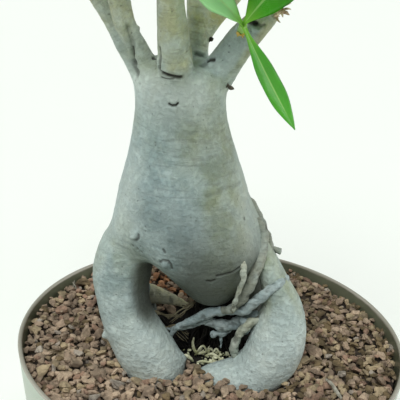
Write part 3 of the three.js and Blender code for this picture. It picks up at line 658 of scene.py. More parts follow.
def link(made):
    bpy.context.scene.collection.objects.link(made)
    return made


def make_object(name, points, faces, finish, uv=None, smooth=True):
    """A mesh object with one material. The uv has one pair for each point."""
    mesh = bpy.data.meshes.new(name)
    mesh.from_pydata([tuple(point) for point in points], [], faces)
    mesh.materials.append(finish)
    if uv is not None:
        corners = np.zeros(len(mesh.loops), int)
        mesh.loops.foreach_get("vertex_index", corners)
        layer = mesh.uv_layers.new(name="UVMap")
        layer.data.foreach_set("uv", np.asarray(uv, np.float32)[corners].ravel())
    mesh.polygons.foreach_set("use_smooth", [smooth] * len(mesh.polygons))
    mesh.update()
    return link(bpy.data.objects.new(name, mesh))


def settle(piece, slot, *nodes):
    """The piece rides on the part's one body and stands for the nodes, which are hidden. The slot is not
    used.
    """
    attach(piece, "root")
    if nodes:
        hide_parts(*nodes)


def points_of(mesh):
    points = np.zeros(3 * len(mesh.vertices))
    mesh.vertices.foreach_get("co", points)
    return points.reshape(-1, 3)


def normals_of(mesh):
    normals = np.zeros(3 * len(mesh.vertices), np.float32)
    mesh.vertex_normals.foreach_get("vector", normals)
    return normals.reshape(-1, 3).astype(float)


def edges_of(mesh):
    edges = np.zeros(2 * len(mesh.edges), int)
    mesh.edges.foreach_get("vertices", edges)
    return edges.reshape(-1, 2)


def move(mesh, points):
    mesh.vertices.foreach_set("co", points.ravel())
    mesh.update()


def store(mesh, name, values):
    attribute = mesh.attributes.new(name, "FLOAT", "POINT")
    attribute.data.foreach_set("value", np.asarray(values, np.float32))


def noise_at(points, scale=1):
    return np.array([noise.noise(Vector(point) * scale) for point in points])


def relaxed(points, edges, weights, rounds):
    """The points, each drawn towards the mean of its neighbours by its weight, that many times."""
    count = len(points)
    one, two = edges.T
    neighbours = np.bincount(edges.ravel(), minlength=count)[:, None]
    for _ in range(rounds):
        sums = np.stack([
            np.bincount(one, points[two, axis], count) + np.bincount(two, points[one, axis], count)
            for axis in range(3)
        ], 1)
        points = points + weights[:, None] * (sums / neighbours - points)
    return points


def soft_step(values, low, high):
    """Runs smoothly from 0 to 1 as the values go from low to high."""
    share = np.clip((values - low) / (high - low), 0, 1)
    return share * share * (3 - 2 * share)


def fade(values, low, high):
    """Runs smoothly from 1 to 0 as the values go from low to high."""
    return 1 - soft_step(values, low, high)


def applied(source, modifier_type, name, **settings):
    """A new mesh: the object's own after one modifier."""
    modifier = source.modifiers.new(name, modifier_type)
    for setting, value in settings.items():
        setattr(modifier, setting, value)
    bpy.context.view_layer.update()
    seen = source.evaluated_get(bpy.context.evaluated_depsgraph_get())
    mesh = bpy.data.meshes.new_from_object(seen)
    mesh.name = name
    source.modifiers.clear()
    return mesh


class DESERTROSE_OT_stage(bpy.types.Operator):
    """Adds the camera at the photographed view, the pale floor and the soft studio light"""

    bl_idname = "desertrose.stage"
    bl_label = "Stage"

    sensor = 36
    # How far the floor reaches from the middle, in metres.
    floor_reach = 3.0
    surroundings = 0.2
    # The soft lights: where each comes from and its strength.
    lights = {
        "key_light": ((-0.15, -0.64, 0.95), 2.3),
        "left_light": ((-1.0, 0.25, 0.4), 0.9),
        "right_light": ((1.0, 0.25, 0.4), 1.2),
    }
    light_spread = math.radians(40)

    def execute(self, context):
        settings = context.scene.desertrose_stage
        self.add_camera(settings)
        self.add_floor(settings)
        self.add_lights(settings)
        context.scene.view_settings.view_transform = "Standard"
        return {"FINISHED"}

    def add_camera(self, settings):
        rim = Vector((0, 0, POT_BOX[1].z))
        back = Vector((0, -math.cos(settings.elevation), math.sin(settings.elevation)))
        level = math.cos(settings.pitch)
        sideways, onwards = level * math.sin(settings.yaw), level * math.cos(settings.yaw)
        ahead = Vector((sideways, onwards, -math.sin(settings.pitch)))
        right = ahead.cross(Vector((0, 0, 1))).normalized()
        right = Matrix.Rotation(-settings.roll, 3, ahead) @ right
        turn = Matrix((right, right.cross(ahead), -ahead)).transposed().to_4x4()
        data = bpy.data.cameras.new("camera")
        data.lens = settings.lens
        data.sensor_width = self.sensor
        data.sensor_fit = "HORIZONTAL"
        camera = link(bpy.data.objects.new("camera", data))
        camera.matrix_world = Matrix.Translation(rim + back * settings.distance) @ turn
        bpy.context.scene.camera = camera

    def add_floor(self, settings):
        finish, wiring, shader = material("pale_floor")
        tone = wiring.patches(wiring.place(), scale=2.0, contrast=0.5)
        paler = shaded(settings.backdrop, 0.985)
        wiring.feed(shader["Base Color"], wiring.blend(tone, paler, settings.backdrop))
        wiring.feed(shader["Roughness"], 0.9)
        corners = self.floor_reach * np.array([(-1, -1, 0), (1, -1, 0), (1, 1, 0), (-1, 1, 0)])
        make_object("floor", corners, [[0, 1, 2, 3]], finish, smooth=False)

    def add_lights(self, settings):
        world = bpy.data.worlds.new("surroundings")
        world.use_nodes = True
        background = world.node_tree.nodes["Background"]
        background.inputs["Color"].default_value = (*settings.backdrop, 1)
        background.inputs["Strength"].default_value = self.surroundings
        bpy.context.scene.world = world
        for name, (towards, strength) in self.lights.items():
            data = bpy.data.lights.new(name, "SUN")
            data.energy = strength
            data.angle = self.light_spread
            lamp = link(bpy.data.objects.new(name, data))
            lamp.location = towards
            lamp.rotation_mode = "QUATERNION"
            lamp.rotation_quaternion = (-Vector(towards)).to_track_quat("-Z", "Y")


class DESERTROSE_OT_pot(bpy.types.Operator):
    """Turns the glazed pot with its rounded rim and drain holes"""

    bl_idname = "desertrose.pot"
    bl_label = "Pot"

    sides = 192
    wall_steps = 24
    lip_steps = 12
    corner_steps = 6
    # The rounding of the foot, outside and within.
    corner = 0.003
    # How uneven the thrown wall is, and the height below which the foot is even.
    unevenness = 0.0002
    even_foot = 0.01
    # The heights between which the glaze runs thin on the rim, and how much they vary.
    bare_rim = (0.1478, 0.1492)
    rim_variation = 0.0012
    drill_sides = 32

    def execute(self, context):
        settings = context.scene.desertrose_pot
        points, faces, insides = self.turned(settings)
        pot = make_object("glazed_pot", points, faces, self.glaze(settings))
        store(pot.data, "inside", insides)
        self.drill(pot, settings)
        settle(pot, "pot_glaze", "pot")
        return {"FINISHED"}

    def profile(self, settings):
        """Radius, height and how much it lies inside, from the middle below to the middle within."""
        rim_radius = POT_BOX[1].x
        height = POT_BOX[1].z
        lip = settings.wall / 2
        edge = self.corner
        base = settings.base_radius
        corner_turns = [math.pi / 2 * step / self.corner_steps for step in range(self.corner_steps + 1)]

        def outer(z):
            return base + (rim_radius - base) * z / height

        run = [(0, 0, 0), (0.3 * base, 0, 0), (0.8 * base, 0, 0)]
        for turn in corner_turns:
            run.append((outer(0) - edge + edge * math.sin(turn), edge - edge * math.cos(turn), 0))
        for z in np.linspace(edge, height - lip, self.wall_steps + 1)[1:]:
            run.append((outer(z), z, 0))
        for step in range(1, self.lip_steps + 1):
            turn = math.pi * step / self.lip_steps
            radius = rim_radius - lip + lip * math.cos(turn)
            run.append((radius, height - lip + lip * math.sin(turn), step / self.lip_steps))
        for z in np.linspace(height - lip, settings.floor + edge, self.wall_steps + 1)[1:]:
            run.append((outer(z) - settings.wall, z, 1))
        for turn in corner_turns[1:]:
            radius = outer(settings.floor) - settings.wall - edge + edge * math.cos(turn)
            run.append((radius, settings.floor + edge - edge * math.sin(turn), 1))
        return [*run, (0.6 * base, settings.floor, 1), (0, settings.floor, 1)]

    def turned(self, settings):
        run = self.profile(settings)
        turns = 2 * np.pi * np.arange(self.sides) / self.sides
        rings = []
        for radius, z, _ in run[1:-1]:
            wobble = [noise.noise((3 * math.cos(turn), 3 * math.sin(turn), 40 * z)) - 1 for turn in turns]
            worked = radius + self.unevenness * np.array(wobble) * min(1, z / self.even_foot)
            rings.append(np.stack([worked * np.cos(turns), worked * np.sin(turns), 0 * turns + z], 1))
        points, faces = skin(np.array(rings))
        insides = np.repeat([inside for _, _, inside in run[1:-1]], self.sides)
        return points, faces, [*insides, 0, 1]

    def drill(self, pot, settings):
        drills = bmesh.new()
        size = settings.drain_radius
        for hole in range(settings.drains):
            turn = 2 * math.pi * hole / settings.drains
            place = (settings.drain_ring * math.cos(turn), settings.drain_ring * math.sin(turn), 0)
            bmesh.ops.create_cone(
                drills, cap_ends=True, segments=self.drill_sides, radius1=size, radius2=size,
                depth=4 * settings.floor, matrix=Matrix.Translation(place))
        mesh = bpy.data.meshes.new("drills")
        drills.to_mesh(mesh)
        drills.free()
        cutter = link(bpy.data.objects.new("drills", mesh))
        pot.data = applied(
            pot, "BOOLEAN", "glazed_pot", operation="DIFFERENCE", object=cutter, solver="EXACT")
        bpy.data.objects.remove(cutter)

    def glaze(self, settings):
        finish, wiring, shader = material("celadon_glaze")
        place = wiring.place()
        height = wiring.node("SeparateXYZ", {0: place}, out="Z")
        cloud = wiring.patches(place, scale=14.0, contrast=1.0)
        thin = shaded(settings.glaze, 0.9)
        body = wiring.blend(cloud, thin, settings.glaze)
        inner_cloud = wiring.patches(place, scale=30.0, contrast=1.2)
        lighter = shaded(settings.inside, 1.25)
        inner = wiring.blend(inner_cloud, settings.inside, lighter)
        colour = wiring.blend(wiring.ramp(wiring.attribute("inside"), 0.55, 0.9), body, inner)
        variation = wiring.times(wiring.minus(inner_cloud, 0.5), self.rim_variation)
        rim = wiring.ramp(wiring.plus(height, variation), *self.bare_rim)
        colour = wiring.tint(colour, rim, 0.85, settings.broken_glaze)
        iron = wiring.spots(place, scale=260.0, size=0.22, share=0.12)
        colour = wiring.tint(colour, iron, 0.55, shaded(settings.broken_glaze, 0.35))
        roughness = wiring.ramp(cloud, 0.0, 1.0, 0.3, 0.42)
        wiring.dress(shader, colour, roughness, wiring.noise(place, 180.0), strength=0.12, distance=0.0006)
        return finish


class DESERTROSE_OT_potting_mix(bpy.types.Operator):
    """Gives the potting mix its crumbly dark finish"""

    bl_idname = "desertrose.potting_mix"
    bl_label = "Potting mix"

    def execute(self, context):
        settings = context.scene.desertrose_soil
        finish, wiring, shader = material("potting_mix")
        place = wiring.place()
        crumbs = wiring.patches(place, scale=90.0, contrast=1.6)
        light = shaded(settings.mix, 2.2)
        colour = wiring.blend(crumbs, settings.mix, light)
        wiring.dress(shader, colour, 0.95, crumbs, strength=0.9, distance=0.002)
        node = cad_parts["potting_mix"]
        node.data.materials.clear()
        node.data.materials.append(finish)
        return {"FINISHED"}


def bark_material(name, settings, tones, ring_scale=450.0):
    """The skin of the plant. The tones are the cool, the green and the pale colour."""
    finish, wiring, shader = material(name)
    cool, green, pale = tones
    place = wiring.place()
    worn_and_lit = wiring.attribute("pale")
    streaks = wiring.patches(wiring.stretched(place, (1.0, 1.0, 0.35)), scale=34.0, contrast=1.3)
    share = wiring.plus(wiring.times(streaks, 0.5), wiring.attribute("green"))
    colour = wiring.blend(wiring.ramp(share, 0.25, 1.15), cool, green)
    colour = wiring.tint(colour, wiring.attribute("old"), 0.8, settings.branch)
    colour = wiring.tint(colour, wiring.attribute("moss"), 0.85, settings.moss)
    clouds = wiring.patches(place, scale=75.0, contrast=2.2)
    colour = wiring.tint(colour, clouds, 0.4, pale)
    # Pale where the skin is worn and where light is painted: on the feet, the top of the stem and its lit
    # sides.
    colour = wiring.blend(worn_and_lit, colour, pale)
    bloom = wiring.patches(place, scale=38.0, contrast=2.6)
    colour = wiring.tint(colour, bloom, 0.3, settings.bloom)
    freckles = wiring.patches(place, scale=330.0, contrast=2.6)
    darker = wiring.blend(0.5, colour, settings.dark)
    colour = wiring.tint(colour, freckles, 0.3, darker)
    rings = wiring.group(skin_rings(), Vector=place, Reach=wiring.attribute("reach"), Scale=ring_scale)
    colour = wiring.tint(colour, rings["Lines"], wiring.ramp(worn_and_lit, 0.0, 0.6, 0.5, 0.15), darker)
    pores = wiring.spots(place, scale=330.0, size=0.3, share=0.16)
    colour = wiring.tint(colour, pores, 0.5, settings.dark)
    # Darker where stained: earth stain and painted shade, under the belly and in the arch of the left root.
    colour = wiring.tint(colour, wiring.attribute("stain"), 0.82, settings.soiled_and_shaded)
    # Darkest in the cracks and scars: partly their own dark, partly painted shade in the cracks and under
    # the arch.
    colour = wiring.blend(wiring.attribute("crease"), colour, settings.dark)
    height = wiring.plus(rings["Height"], wiring.times(wiring.noise(place, 700.0), 0.35))
    height = wiring.minus(height, wiring.times(wiring.plus(pores, freckles), 0.5))
    roughness = wiring.ramp(clouds, 0.0, 1.0, 0.5, 0.68)
    wiring.dress(shader, colour, roughness, height, strength=0.8, distance=0.0009)
    return finish


class DESERTROSE_OT_caudex(bpy.types.Operator):
    """Grows the stem, the thick roots and the branches together into one skin"""

    bl_idname = "desertrose.caudex"
    bl_label = "Stem, roots and branches"

    # Where the branches part, in metres, and the heights from which the rings of the skin turn about it.
    crown = Vector((-0.031, 0.006, 0.300))
    crown_heights = (0.315, 0.345)
    # Rounds of smoothing: of every limb, of the joints of the roots, and of the left root's shoulder.
    all_rounds, joint_rounds, shoulder_rounds = 6, 45, 260
    # The heights between which the joints stop melting.
    crisp_heights = (0.285, 0.31)
    # What the melting takes off a limb, given back afterwards.
    shrinkage = 0.0006
    # How near a mark the faces are split, in millimetres beyond the reach of the mark.
    mark_margin = 0.8
    # Height of the soft swells and of the fine folds, in metres.
    swell_height = 0.0007
    fold_height = 0.00022
    # Forks below the belly that stay open: place, and where the melting of the joints begins and ends, in
    # millimetres as the places that follow.
    open_forks = [((-44, -4, 203), 9, 24), ((26, -6, 205), 12, 30)]
    # The joint of the belly and the left root, which is melted until no crease shows.
    shoulder = [(-68, -4, 233), (-61, -15, 228), (-54, -22, 223.5), (-47, -26, 221)]
    # The bulging foot of the front branch.
    tongue = [(-33, -16, 343), (-34, -16, 362)]
    # The middle of the bluish skin on the right branch.
    blue_patch = [(-7, -6, 337), (7, -9, 357)]
    # The darker front of the stem below the branches.
    neck = [(-34, -21, 322), (-16, -21, 302), (-5, -15, 288)]

    def execute(self, context):
        settings = context.scene.desertrose_bark
        finish = bark_material("grey_bark", settings, (settings.blue, settings.green, settings.pale))
        shapes = [limb(STEM, 96, 6, level=True)]
        shapes += [limb(stations, 64, 8) for stations in THICK_ROOTS.values()]
        shapes += [limb(stations, 48, 8) for stations in [*BRANCHES.values(), *MELTED_IN.values()]]
        rough = make_object("caudex_limbs", *together(shapes), finish)
        mesh = applied(rough, "REMESH", "caudex_skin", mode="VOXEL", voxel_size=settings.voxel)
        bpy.data.objects.remove(rough)
        whole = link(bpy.data.objects.new("caudex_skin", mesh))
        self.smooth(mesh)
        marks = self.marks_on(mesh)
        self.refine(mesh, marks)
        self.weather(mesh, marks)
        mesh.polygons.foreach_set("use_smooth", [True] * len(mesh.polygons))
        settle(whole, "bark", "caudex")
        return {"FINISHED"}

    def smooth(self, mesh):
        """Melts the joints of the roots into the stem and keeps those of the branches crisp."""
        points = points_of(mesh)
        edges = edges_of(mesh)
        points = relaxed(points, edges, np.full(len(points), 0.5), self.all_rounds)
        weights = 0.5 * fade(points[:, 2], *self.crisp_heights)
        for place, near, far in self.open_forks:
            weights *= 0.1 + 0.9 * soft_step(self.away(points, [place]), near, far)
        points = relaxed(points, edges, weights, self.joint_rounds)
        points += normals_of(mesh) * (self.shrinkage * weights / 0.5)[:, None]
        creased = fade(self.away(points, self.shoulder), 9, 22)
        move(mesh, relaxed(points, edges, weights * creased, self.shoulder_rounds))

    def marks_on(self, mesh):
        """The marks with each place lifted or sunk onto the skin."""
        points = points_of(mesh)
        normals = normals_of(mesh)

        def on_skin(spot):
            index = np.argmin(np.linalg.norm(points - np.array(spot) * MM, axis=1))
            return np.array(spot) + normals[index] * ((points[index] / MM - spot) @ normals[index])

        return [([on_skin(spot) for spot in run], *rest) for run, *rest in MARKS]

    def refine(self, mesh, marks):
        """Splits the faces near the marks, so that they have room for them."""
        points = points_of(mesh)
        reach = np.min([self.away(points, run) - 2.4 * width for run, width, _, _ in marks], axis=0)
        shape = bmesh.new()
        shape.from_mesh(mesh)
        near = reach < self.mark_margin
        close = [edge for edge in shape.edges if all(near[vertex.index] for vertex in edge.verts)]
        bmesh.ops.subdivide_edges(shape, edges=close, cuts=2, use_grid_fill=True)
        shape.to_mesh(mesh)
        shape.free()

    def away(self, points, run):
        """How far each point lies from a run of places, in millimetres."""
        places = np.array(run, float)
        spots = points / MM
        nearest = np.linalg.norm(spots - places[0], axis=1)
        for start, end in zip(places, places[1:]):
            way = end - start
            share = np.clip((spots - start) @ way / (way @ way), 0, 1)
            nearest = np.minimum(nearest, np.linalg.norm(spots - start - share[:, None] * way, axis=1))
        return nearest

    def weather(self, mesh, marks):
        """Swells, lines and marks the skin, and stores what its material reads."""
        points = points_of(mesh)
        normals = normals_of(mesh)
        x, y, height = points.T
        to_right = normals[:, 0]
        above = soft_step(height, *self.crown_heights)
        from_crown = np.linalg.norm(points - self.crown, axis=1) + self.crown.z
        reach = height * (1 - above) + from_crown * above
        swell = noise_at(points, 28)
        fold = noise_at(np.stack([40 * x, 40 * y, 260 * reach], 1))
        lift = self.swell_height * swell + self.fold_height * fold
        crease = np.zeros(len(points))
        ragged = 1 + 0.35 * fold + 0.3 * swell
        for run, width, depth, dark in marks:
            apart = self.away(points, run) / width * ragged
            lift -= depth * MM * np.exp(-apart ** 2)
            # The raised lip on both sides of a crack.
            lift += 0.25 * max(depth, 0) * MM * np.exp(-(apart - 2.1) ** 2 / 0.6)
            # The darkness of the mark: partly the scar's own dark, partly painted shade in the crack.
            crease = np.maximum(crease, dark * fade(apart, 0.5, 1.3))
        legs = self.on_legs(points)
        foot = legs * fade(height, 0.138, 0.165)
        shoulder = fade(self.away(points, self.shoulder), 14, 36)
        bluish = fade(self.away(points, self.blue_patch), 7, 14) * fade(to_right, 0.05, 0.55)
        outward = np.maximum(soft_step(to_right, 0.45, 0.95), 0.8 * soft_step(-to_right, 0.4, 0.9))
        green = 0.12 + 1.1 * noise_at(points * (22, 22, 7)) + 0.5 * foot + 0.45 * shoulder
        green += 0.85 * soft_step(x, -0.015, 0.02) * (1 - legs) + (0.85 * outward - 0.1) * legs
        store(mesh, "green", np.clip(green, 0, 1) * (1 - 0.85 * bluish))
        store(mesh, "reach", reach)
        points += normals * lift[:, None]
        move(mesh, points)
        masks = self.masks(points, normals, legs, foot, shoulder, bluish)
        masks["crease"] = np.maximum(crease, masks["crease"])
        for name, values in masks.items():
            store(mesh, name, values)

    def masks(self, points, normals, legs, foot, shoulder, bluish):
        """How old, mossy, stained, creased and pale the skin is at each point, from 0 to 1. The stain and
        the crease also hold painted shade, and the pale tone painted light.
        """
        x, y, height = points.T
        to_right = normals[:, 0]
        downward = -normals[:, 2]
        stem = 1 - legs
        tongue = fade(self.away(points, self.tongue), 8.5, 11)
        # The right edge of the stem, facing right, given the older tone of the branches and the pale tone:
        # painted rim light.
        rim = soft_step(to_right, 0.5, 0.9) * soft_step(x, 0, 0.02) * fade(height, 0.315, 0.34) * stem
        old = np.maximum(soft_step(height, 0.333, 0.36), tongue) * (1 - 0.95 * bluish)
        back_branches = soft_step(y, 0.006, 0.014) * soft_step(height, 0.338, 0.346)
        back_branches *= soft_step(x, -0.034, -0.028)
        # The underside and the lower front of the belly are darkened: painted shade, with some earth stain.
        underside = soft_step(downward, -0.75, 0.1) * stem * fade(height, 0.23, 0.28)
        belly = np.exp(-((x + 0.008) / 0.04) ** 2) * stem * fade(height, 0.21, 0.29)
        soiled_and_shaded = np.maximum(underside, 0.7 * belly) * (1 - 0.85 * shoulder)
        neck = fade(self.away(points, self.neck), 10, 28)
        # The inner side of the left root under the arch, facing right, is darkened: painted shade.
        arch_shade = soft_step(to_right, 0.25, 0.75) * fade(np.abs(height - 0.19), 0.014, 0.028)
        arch_shade *= fade(x, -0.034, -0.024)
        # A pale band round the top of the stem: painted light from above.
        lit_collar = np.exp(-((height - 0.323) / 0.014) ** 2) * (1 - tongue)
        lit_collar *= 1 - 0.75 * soft_step(x, -0.02, -0.005)
        # The left side of the belly made paler: painted light from the left.
        lit_cheek = soft_step(-to_right, 0.4, 0.85) * np.exp(-((height - 0.252) / 0.036) ** 2)
        right_leg = soft_step(x, 0, 0.02) * fade(height, 0.165, 0.192)
        # The legs paler towards their feet, most of all the right one: partly worn skin, partly painted
        # light on their upturned fronts.
        worn_and_lit = legs * (0.12 + 0.4 * fade(height, 0.16, 0.2) + 0.35 * right_leg)
        far_right = soft_step(x, 0.02, 0.05) * soft_step(height, 0.38, 0.4)
        # Paler towards the soil: partly the skin's own pale rim, partly painted light on the feet.
        pale = worn_and_lit + 0.8 * lit_collar + 0.6 * fade(height, 0.134, 0.185)
        pale += 0.65 * rim + 0.7 * lit_cheek + 0.6 * far_right + 0.35 * bluish
        return {
            "old": np.maximum(old, 0.8 * rim),
            "moss": np.maximum(back_branches, 0.3 * foot),
            "stain": np.maximum(soiled_and_shaded + 0.28 * neck, arch_shade),
            "crease": 0.5 * arch_shade,
            "pale": np.clip(pale, 0, 1),
        }

    def on_legs(self, points):
        """1 on the thick roots in front and 0 on the belly."""
        apart = np.full(len(points), np.inf)
        for stations in (THICK_ROOTS["left_front"], THICK_ROOTS["right_front"]):
            for *place, width, depth in full(stations)[2:]:
                apart = np.minimum(apart, self.away(points, [place]) / max(width, depth))
        return fade(apart, 0.95, 1.35) * fade(points[:, 2], 0.2, 0.235)


def plain_material(name, colour, shade, scale, roughness):
    """A dry, dull finish with patches of a second tone."""
    finish, wiring, shader = material(name)
    place = wiring.place()
    patches = wiring.patches(place, scale, contrast=1.8)
    colour = wiring.blend(patches, shade, colour)
    wiring.dress(shader, colour, roughness, wiring.noise(place, 12 * scale), strength=0.6, distance=0.0004)
    return finish


class DESERTROSE_OT_thin_roots(bpy.types.Operator):
    """Lays the cord-thin roots along the stem and under its belly"""

    bl_idname = "desertrose.thin_roots"
    bl_label = "Thin roots"

    ring_scale = 1400.0
    # The cool, the green and the pale colour of each tone.
    tones = {
        "grey": (0x8F9484, 0x8A8A72, 0xB4B8A8),
        "blue": (0x9AADAE, 0x9AA898, 0xD6E0DA),
        "cream": (0xACB29C, 0xA2A682, 0xD6D8C4),
        # The white root under the belly is paler than its own cream, to stand in for the light on it:
        # partly painted light.
        "white": (0xF4F0C4, 0xE0D89A, 0xFBF8E4),
    }
    # The colour and the shade of the fine ones. The near-black of the dark ones under the belly is partly
    # painted shade.
    fine_tones = {"dark": (0x1F1C14, 0x0F0E0A), "brown": (0x9A9478, 0x5E5740)}
    # Height of the knuckles and of the grain, in metres.
    knuckle_height = 0.001
    grain_height = 0.0003

    def execute(self, context):
        settings = context.scene.desertrose_bark
        for tone, runs in THIN_ROOTS.items():
            colours = [paint(code) for code in self.tones[tone]]
            finish = bark_material("thin_root_" + tone, settings, colours, self.ring_scale)
            shapes = [limb(stations, 20, 12) for stations in runs.values()]
            piece = make_object("thin_roots_" + tone, *together(shapes), finish)
            self.knot(piece.data)
            settle(piece, "bark")
        self.add_fine_roots()
        return {"FINISHED"}

    def add_fine_roots(self):
        rng = random.Random(23)
        for tone, bundles in FINE_ROOTS.items():
            shapes = []
            for *ends, count, radius, stray in bundles:
                shapes += [self.fine_root(rng, ends[:2], ends[2:], radius, stray) for _ in range(count)]
            colours = [paint(code) for code in self.fine_tones[tone]]
            finish = plain_material("fine_root_" + tone, *colours, 90.0, 0.9)
            settle(make_object("fine_roots_" + tone, *together(shapes), finish), "bark")

    def fine_root(self, rng, start, end, radius, stray):
        ends = [[m + rng.uniform(-1, 1) * half for m, half in zip(*spot)] for spot in (start, end)]
        stations = []
        girth = radius * rng.uniform(0.6, 1.3)
        for share in (0, 0.25, 0.5, 0.75, 1):
            swing = stray * math.sin(math.pi * share)
            spot = [a + (b - a) * share + rng.uniform(-1, 1) * swing for a, b in zip(*ends)]
            stations.append((*spot, girth * (1 - 0.6 * share)))
        return limb(stations, 5, 2)

    def knot(self, mesh):
        """Gives the roots knuckles, and stores what the bark material reads."""
        points = points_of(mesh)
        lumps = noise_at(points, 210)
        grain = noise_at(points, 620)
        points += normals_of(mesh) * (self.knuckle_height * lumps + self.grain_height * grain)[:, None]
        move(mesh, points)
        store(mesh, "reach", points[:, 2])
        # Darker in the dips between the knuckles: painted shade.
        store(mesh, "crease", 0.55 * soft_step(-lumps - 0.4 * grain, 0.15, 0.5))
        for name in ("green", "old", "moss", "pale", "stain"):
            store(mesh, name, np.zeros(len(points)))


def leaf_material(settings):
    if "leaf_blade" in bpy.data.materials:
        return bpy.data.materials["leaf_blade"]
    finish, wiring, shader = material("leaf_blade")
    across = wiring.node("SeparateXYZ", {0: wiring.node("UVMap")}, out="X")
    along = wiring.node("SeparateXYZ", {0: wiring.node("UVMap")}, out="Y")
    place = wiring.place()
    off = wiring.math("ABSOLUTE", wiring.minus(across, 0.5))
    patches = wiring.patches(place, scale=60.0, contrast=1.2)
    colour = wiring.blend(patches, settings.deep, shaded(settings.deep, 0.75))
    # Lighter where young; on the second leaf of the side shoot this lightness is painted sheen.
    colour = wiring.blend(wiring.attribute("young"), colour, settings.young)
    colour = wiring.blend(wiring.ramp(along, 0.3, 0.0), colour, settings.fresh)
    slant = wiring.minus(wiring.times(along, 26.0), wiring.times(off, 15.0))
    wave = wiring.math("ABSOLUTE", wiring.math("SINE", wiring.times(slant, math.pi)))
    veins = wiring.times(wiring.ramp(wave, 0.22, 0.0), wiring.ramp(off, 0.5, 0.1))
    colour = wiring.tint(colour, veins, 0.3, settings.rib)
    midrib = wiring.times(wiring.ramp(off, 0.05, 0.02), wiring.ramp(along, 1.0, 0.7))
    colour = wiring.tint(colour, midrib, 0.5, settings.rib)
    shader["Specular IOR Level"].default_value = 0.3
    shader["Subsurface Weight"].default_value = 0.08
    shader["Subsurface Radius"].default_value = (0.002, 0.004, 0.001)
    height = wiring.plus(wiring.times(veins, -0.6), wiring.noise(place, 500.0, 2.0))
    roughness = wiring.ramp(patches, 0.0, 1.0, 0.27, 0.38)
    wiring.dress(shader, colour, roughness, height, strength=0.25, distance=0.0004)
    return finish


def half_width_at(share, half_width):
    """Half a leaf's width at a share of its length: a narrow foot, a blunt tip, widest past the middle."""
    blade_there = half_width * math.sin(math.pi * min(share, 0.995) ** 1.25) ** 0.85
    stalk_there = 0.0013 * fade(share, 0.1, 0.4) + 0.0002
    return max(blade_there, stalk_there)


def blade(foot, aim, face, half_width, bend, thickness, phase):
    """A leaf folded up along its midrib and arched from foot to tip: rings of points and their uv."""
    aim = np.asarray(aim, float)
    length = np.linalg.norm(aim)
    along = aim / length
    face = np.asarray(face, float)
    up = unit(face - along * (face @ along))
    side = np.cross(up, along)
    turn = math.radians(bend)
    tops = np.linspace(-1, 1, 2 * BLADE_POINTS + 1)
    rings = []
    uv = []
    for share in BLADE_SHARES:
        angle = turn * (share - 0.5)
        forward = length * (math.sin(angle) + math.sin(turn / 2)) / turn
        lift = length * (math.cos(angle) - math.cos(turn / 2)) / turn
        middle = foot + along * forward + up * lift
        normal = along * math.sin(angle) + up * math.cos(angle)
        out = half_width_at(share, half_width)
        rib = RIB_HEIGHT * (1 - 0.75 * share) * (1 - share ** 6)
        ring = []
        for upper, spots in ((True, tops), (False, tops[-2:0:-1])):
            for spot in spots:
                fold = 0.26 * abs(spot) ** 1.2 - 0.1 * spot ** 4
                ripple = 0.05 * spot ** 2 * math.sin(17 * share + phase + 2 * spot)
                body = thickness * (1 - spot ** 4) / 2
                ridge = rib * math.exp(-(spot * out / RIB_HALF_WIDTH) ** 2)
                over = out * (fold + ripple) + (body - 0.3 * ridge if upper else -body - ridge)
                ring.append(middle + side * out * spot + normal * over)
                uv.append((0.5 + 0.5 * spot, share))
        rings.append(ring)
    return np.array(rings), [*uv, (0.5, 0), (0.5, 1)]


def heading(azimuth, rise):
    """The direction at a turn about +Z and a rise above the level, in degrees."""
    level = math.cos(math.radians(rise))
    return np.array([level * math.cos(azimuth), level * math.sin(azimuth), math.sin(math.radians(rise))])


def repeatable(seed):
    """Random numbers from 0 to 1, the same as those by which the solids of the leaves are made."""
    state = seed
    while True:
        state = (state * 1664525 + 1013904223) % 2 ** 32
        yield state / 2 ** 32


def rosette_mounts():
    """Where each rosette stands, just beyond its branch's end, and how it is turned in line with it."""
    mounts = {}
    for name in ROSETTES:
        before, end = (Vector(station[:3]) for station in BRANCHES[name][-2:])
        along = (end - before).normalized()
        mounts[name] = (end + along * SHOOT_GAP, Vector((0, 0, 1)).rotation_difference(along))
    return mounts


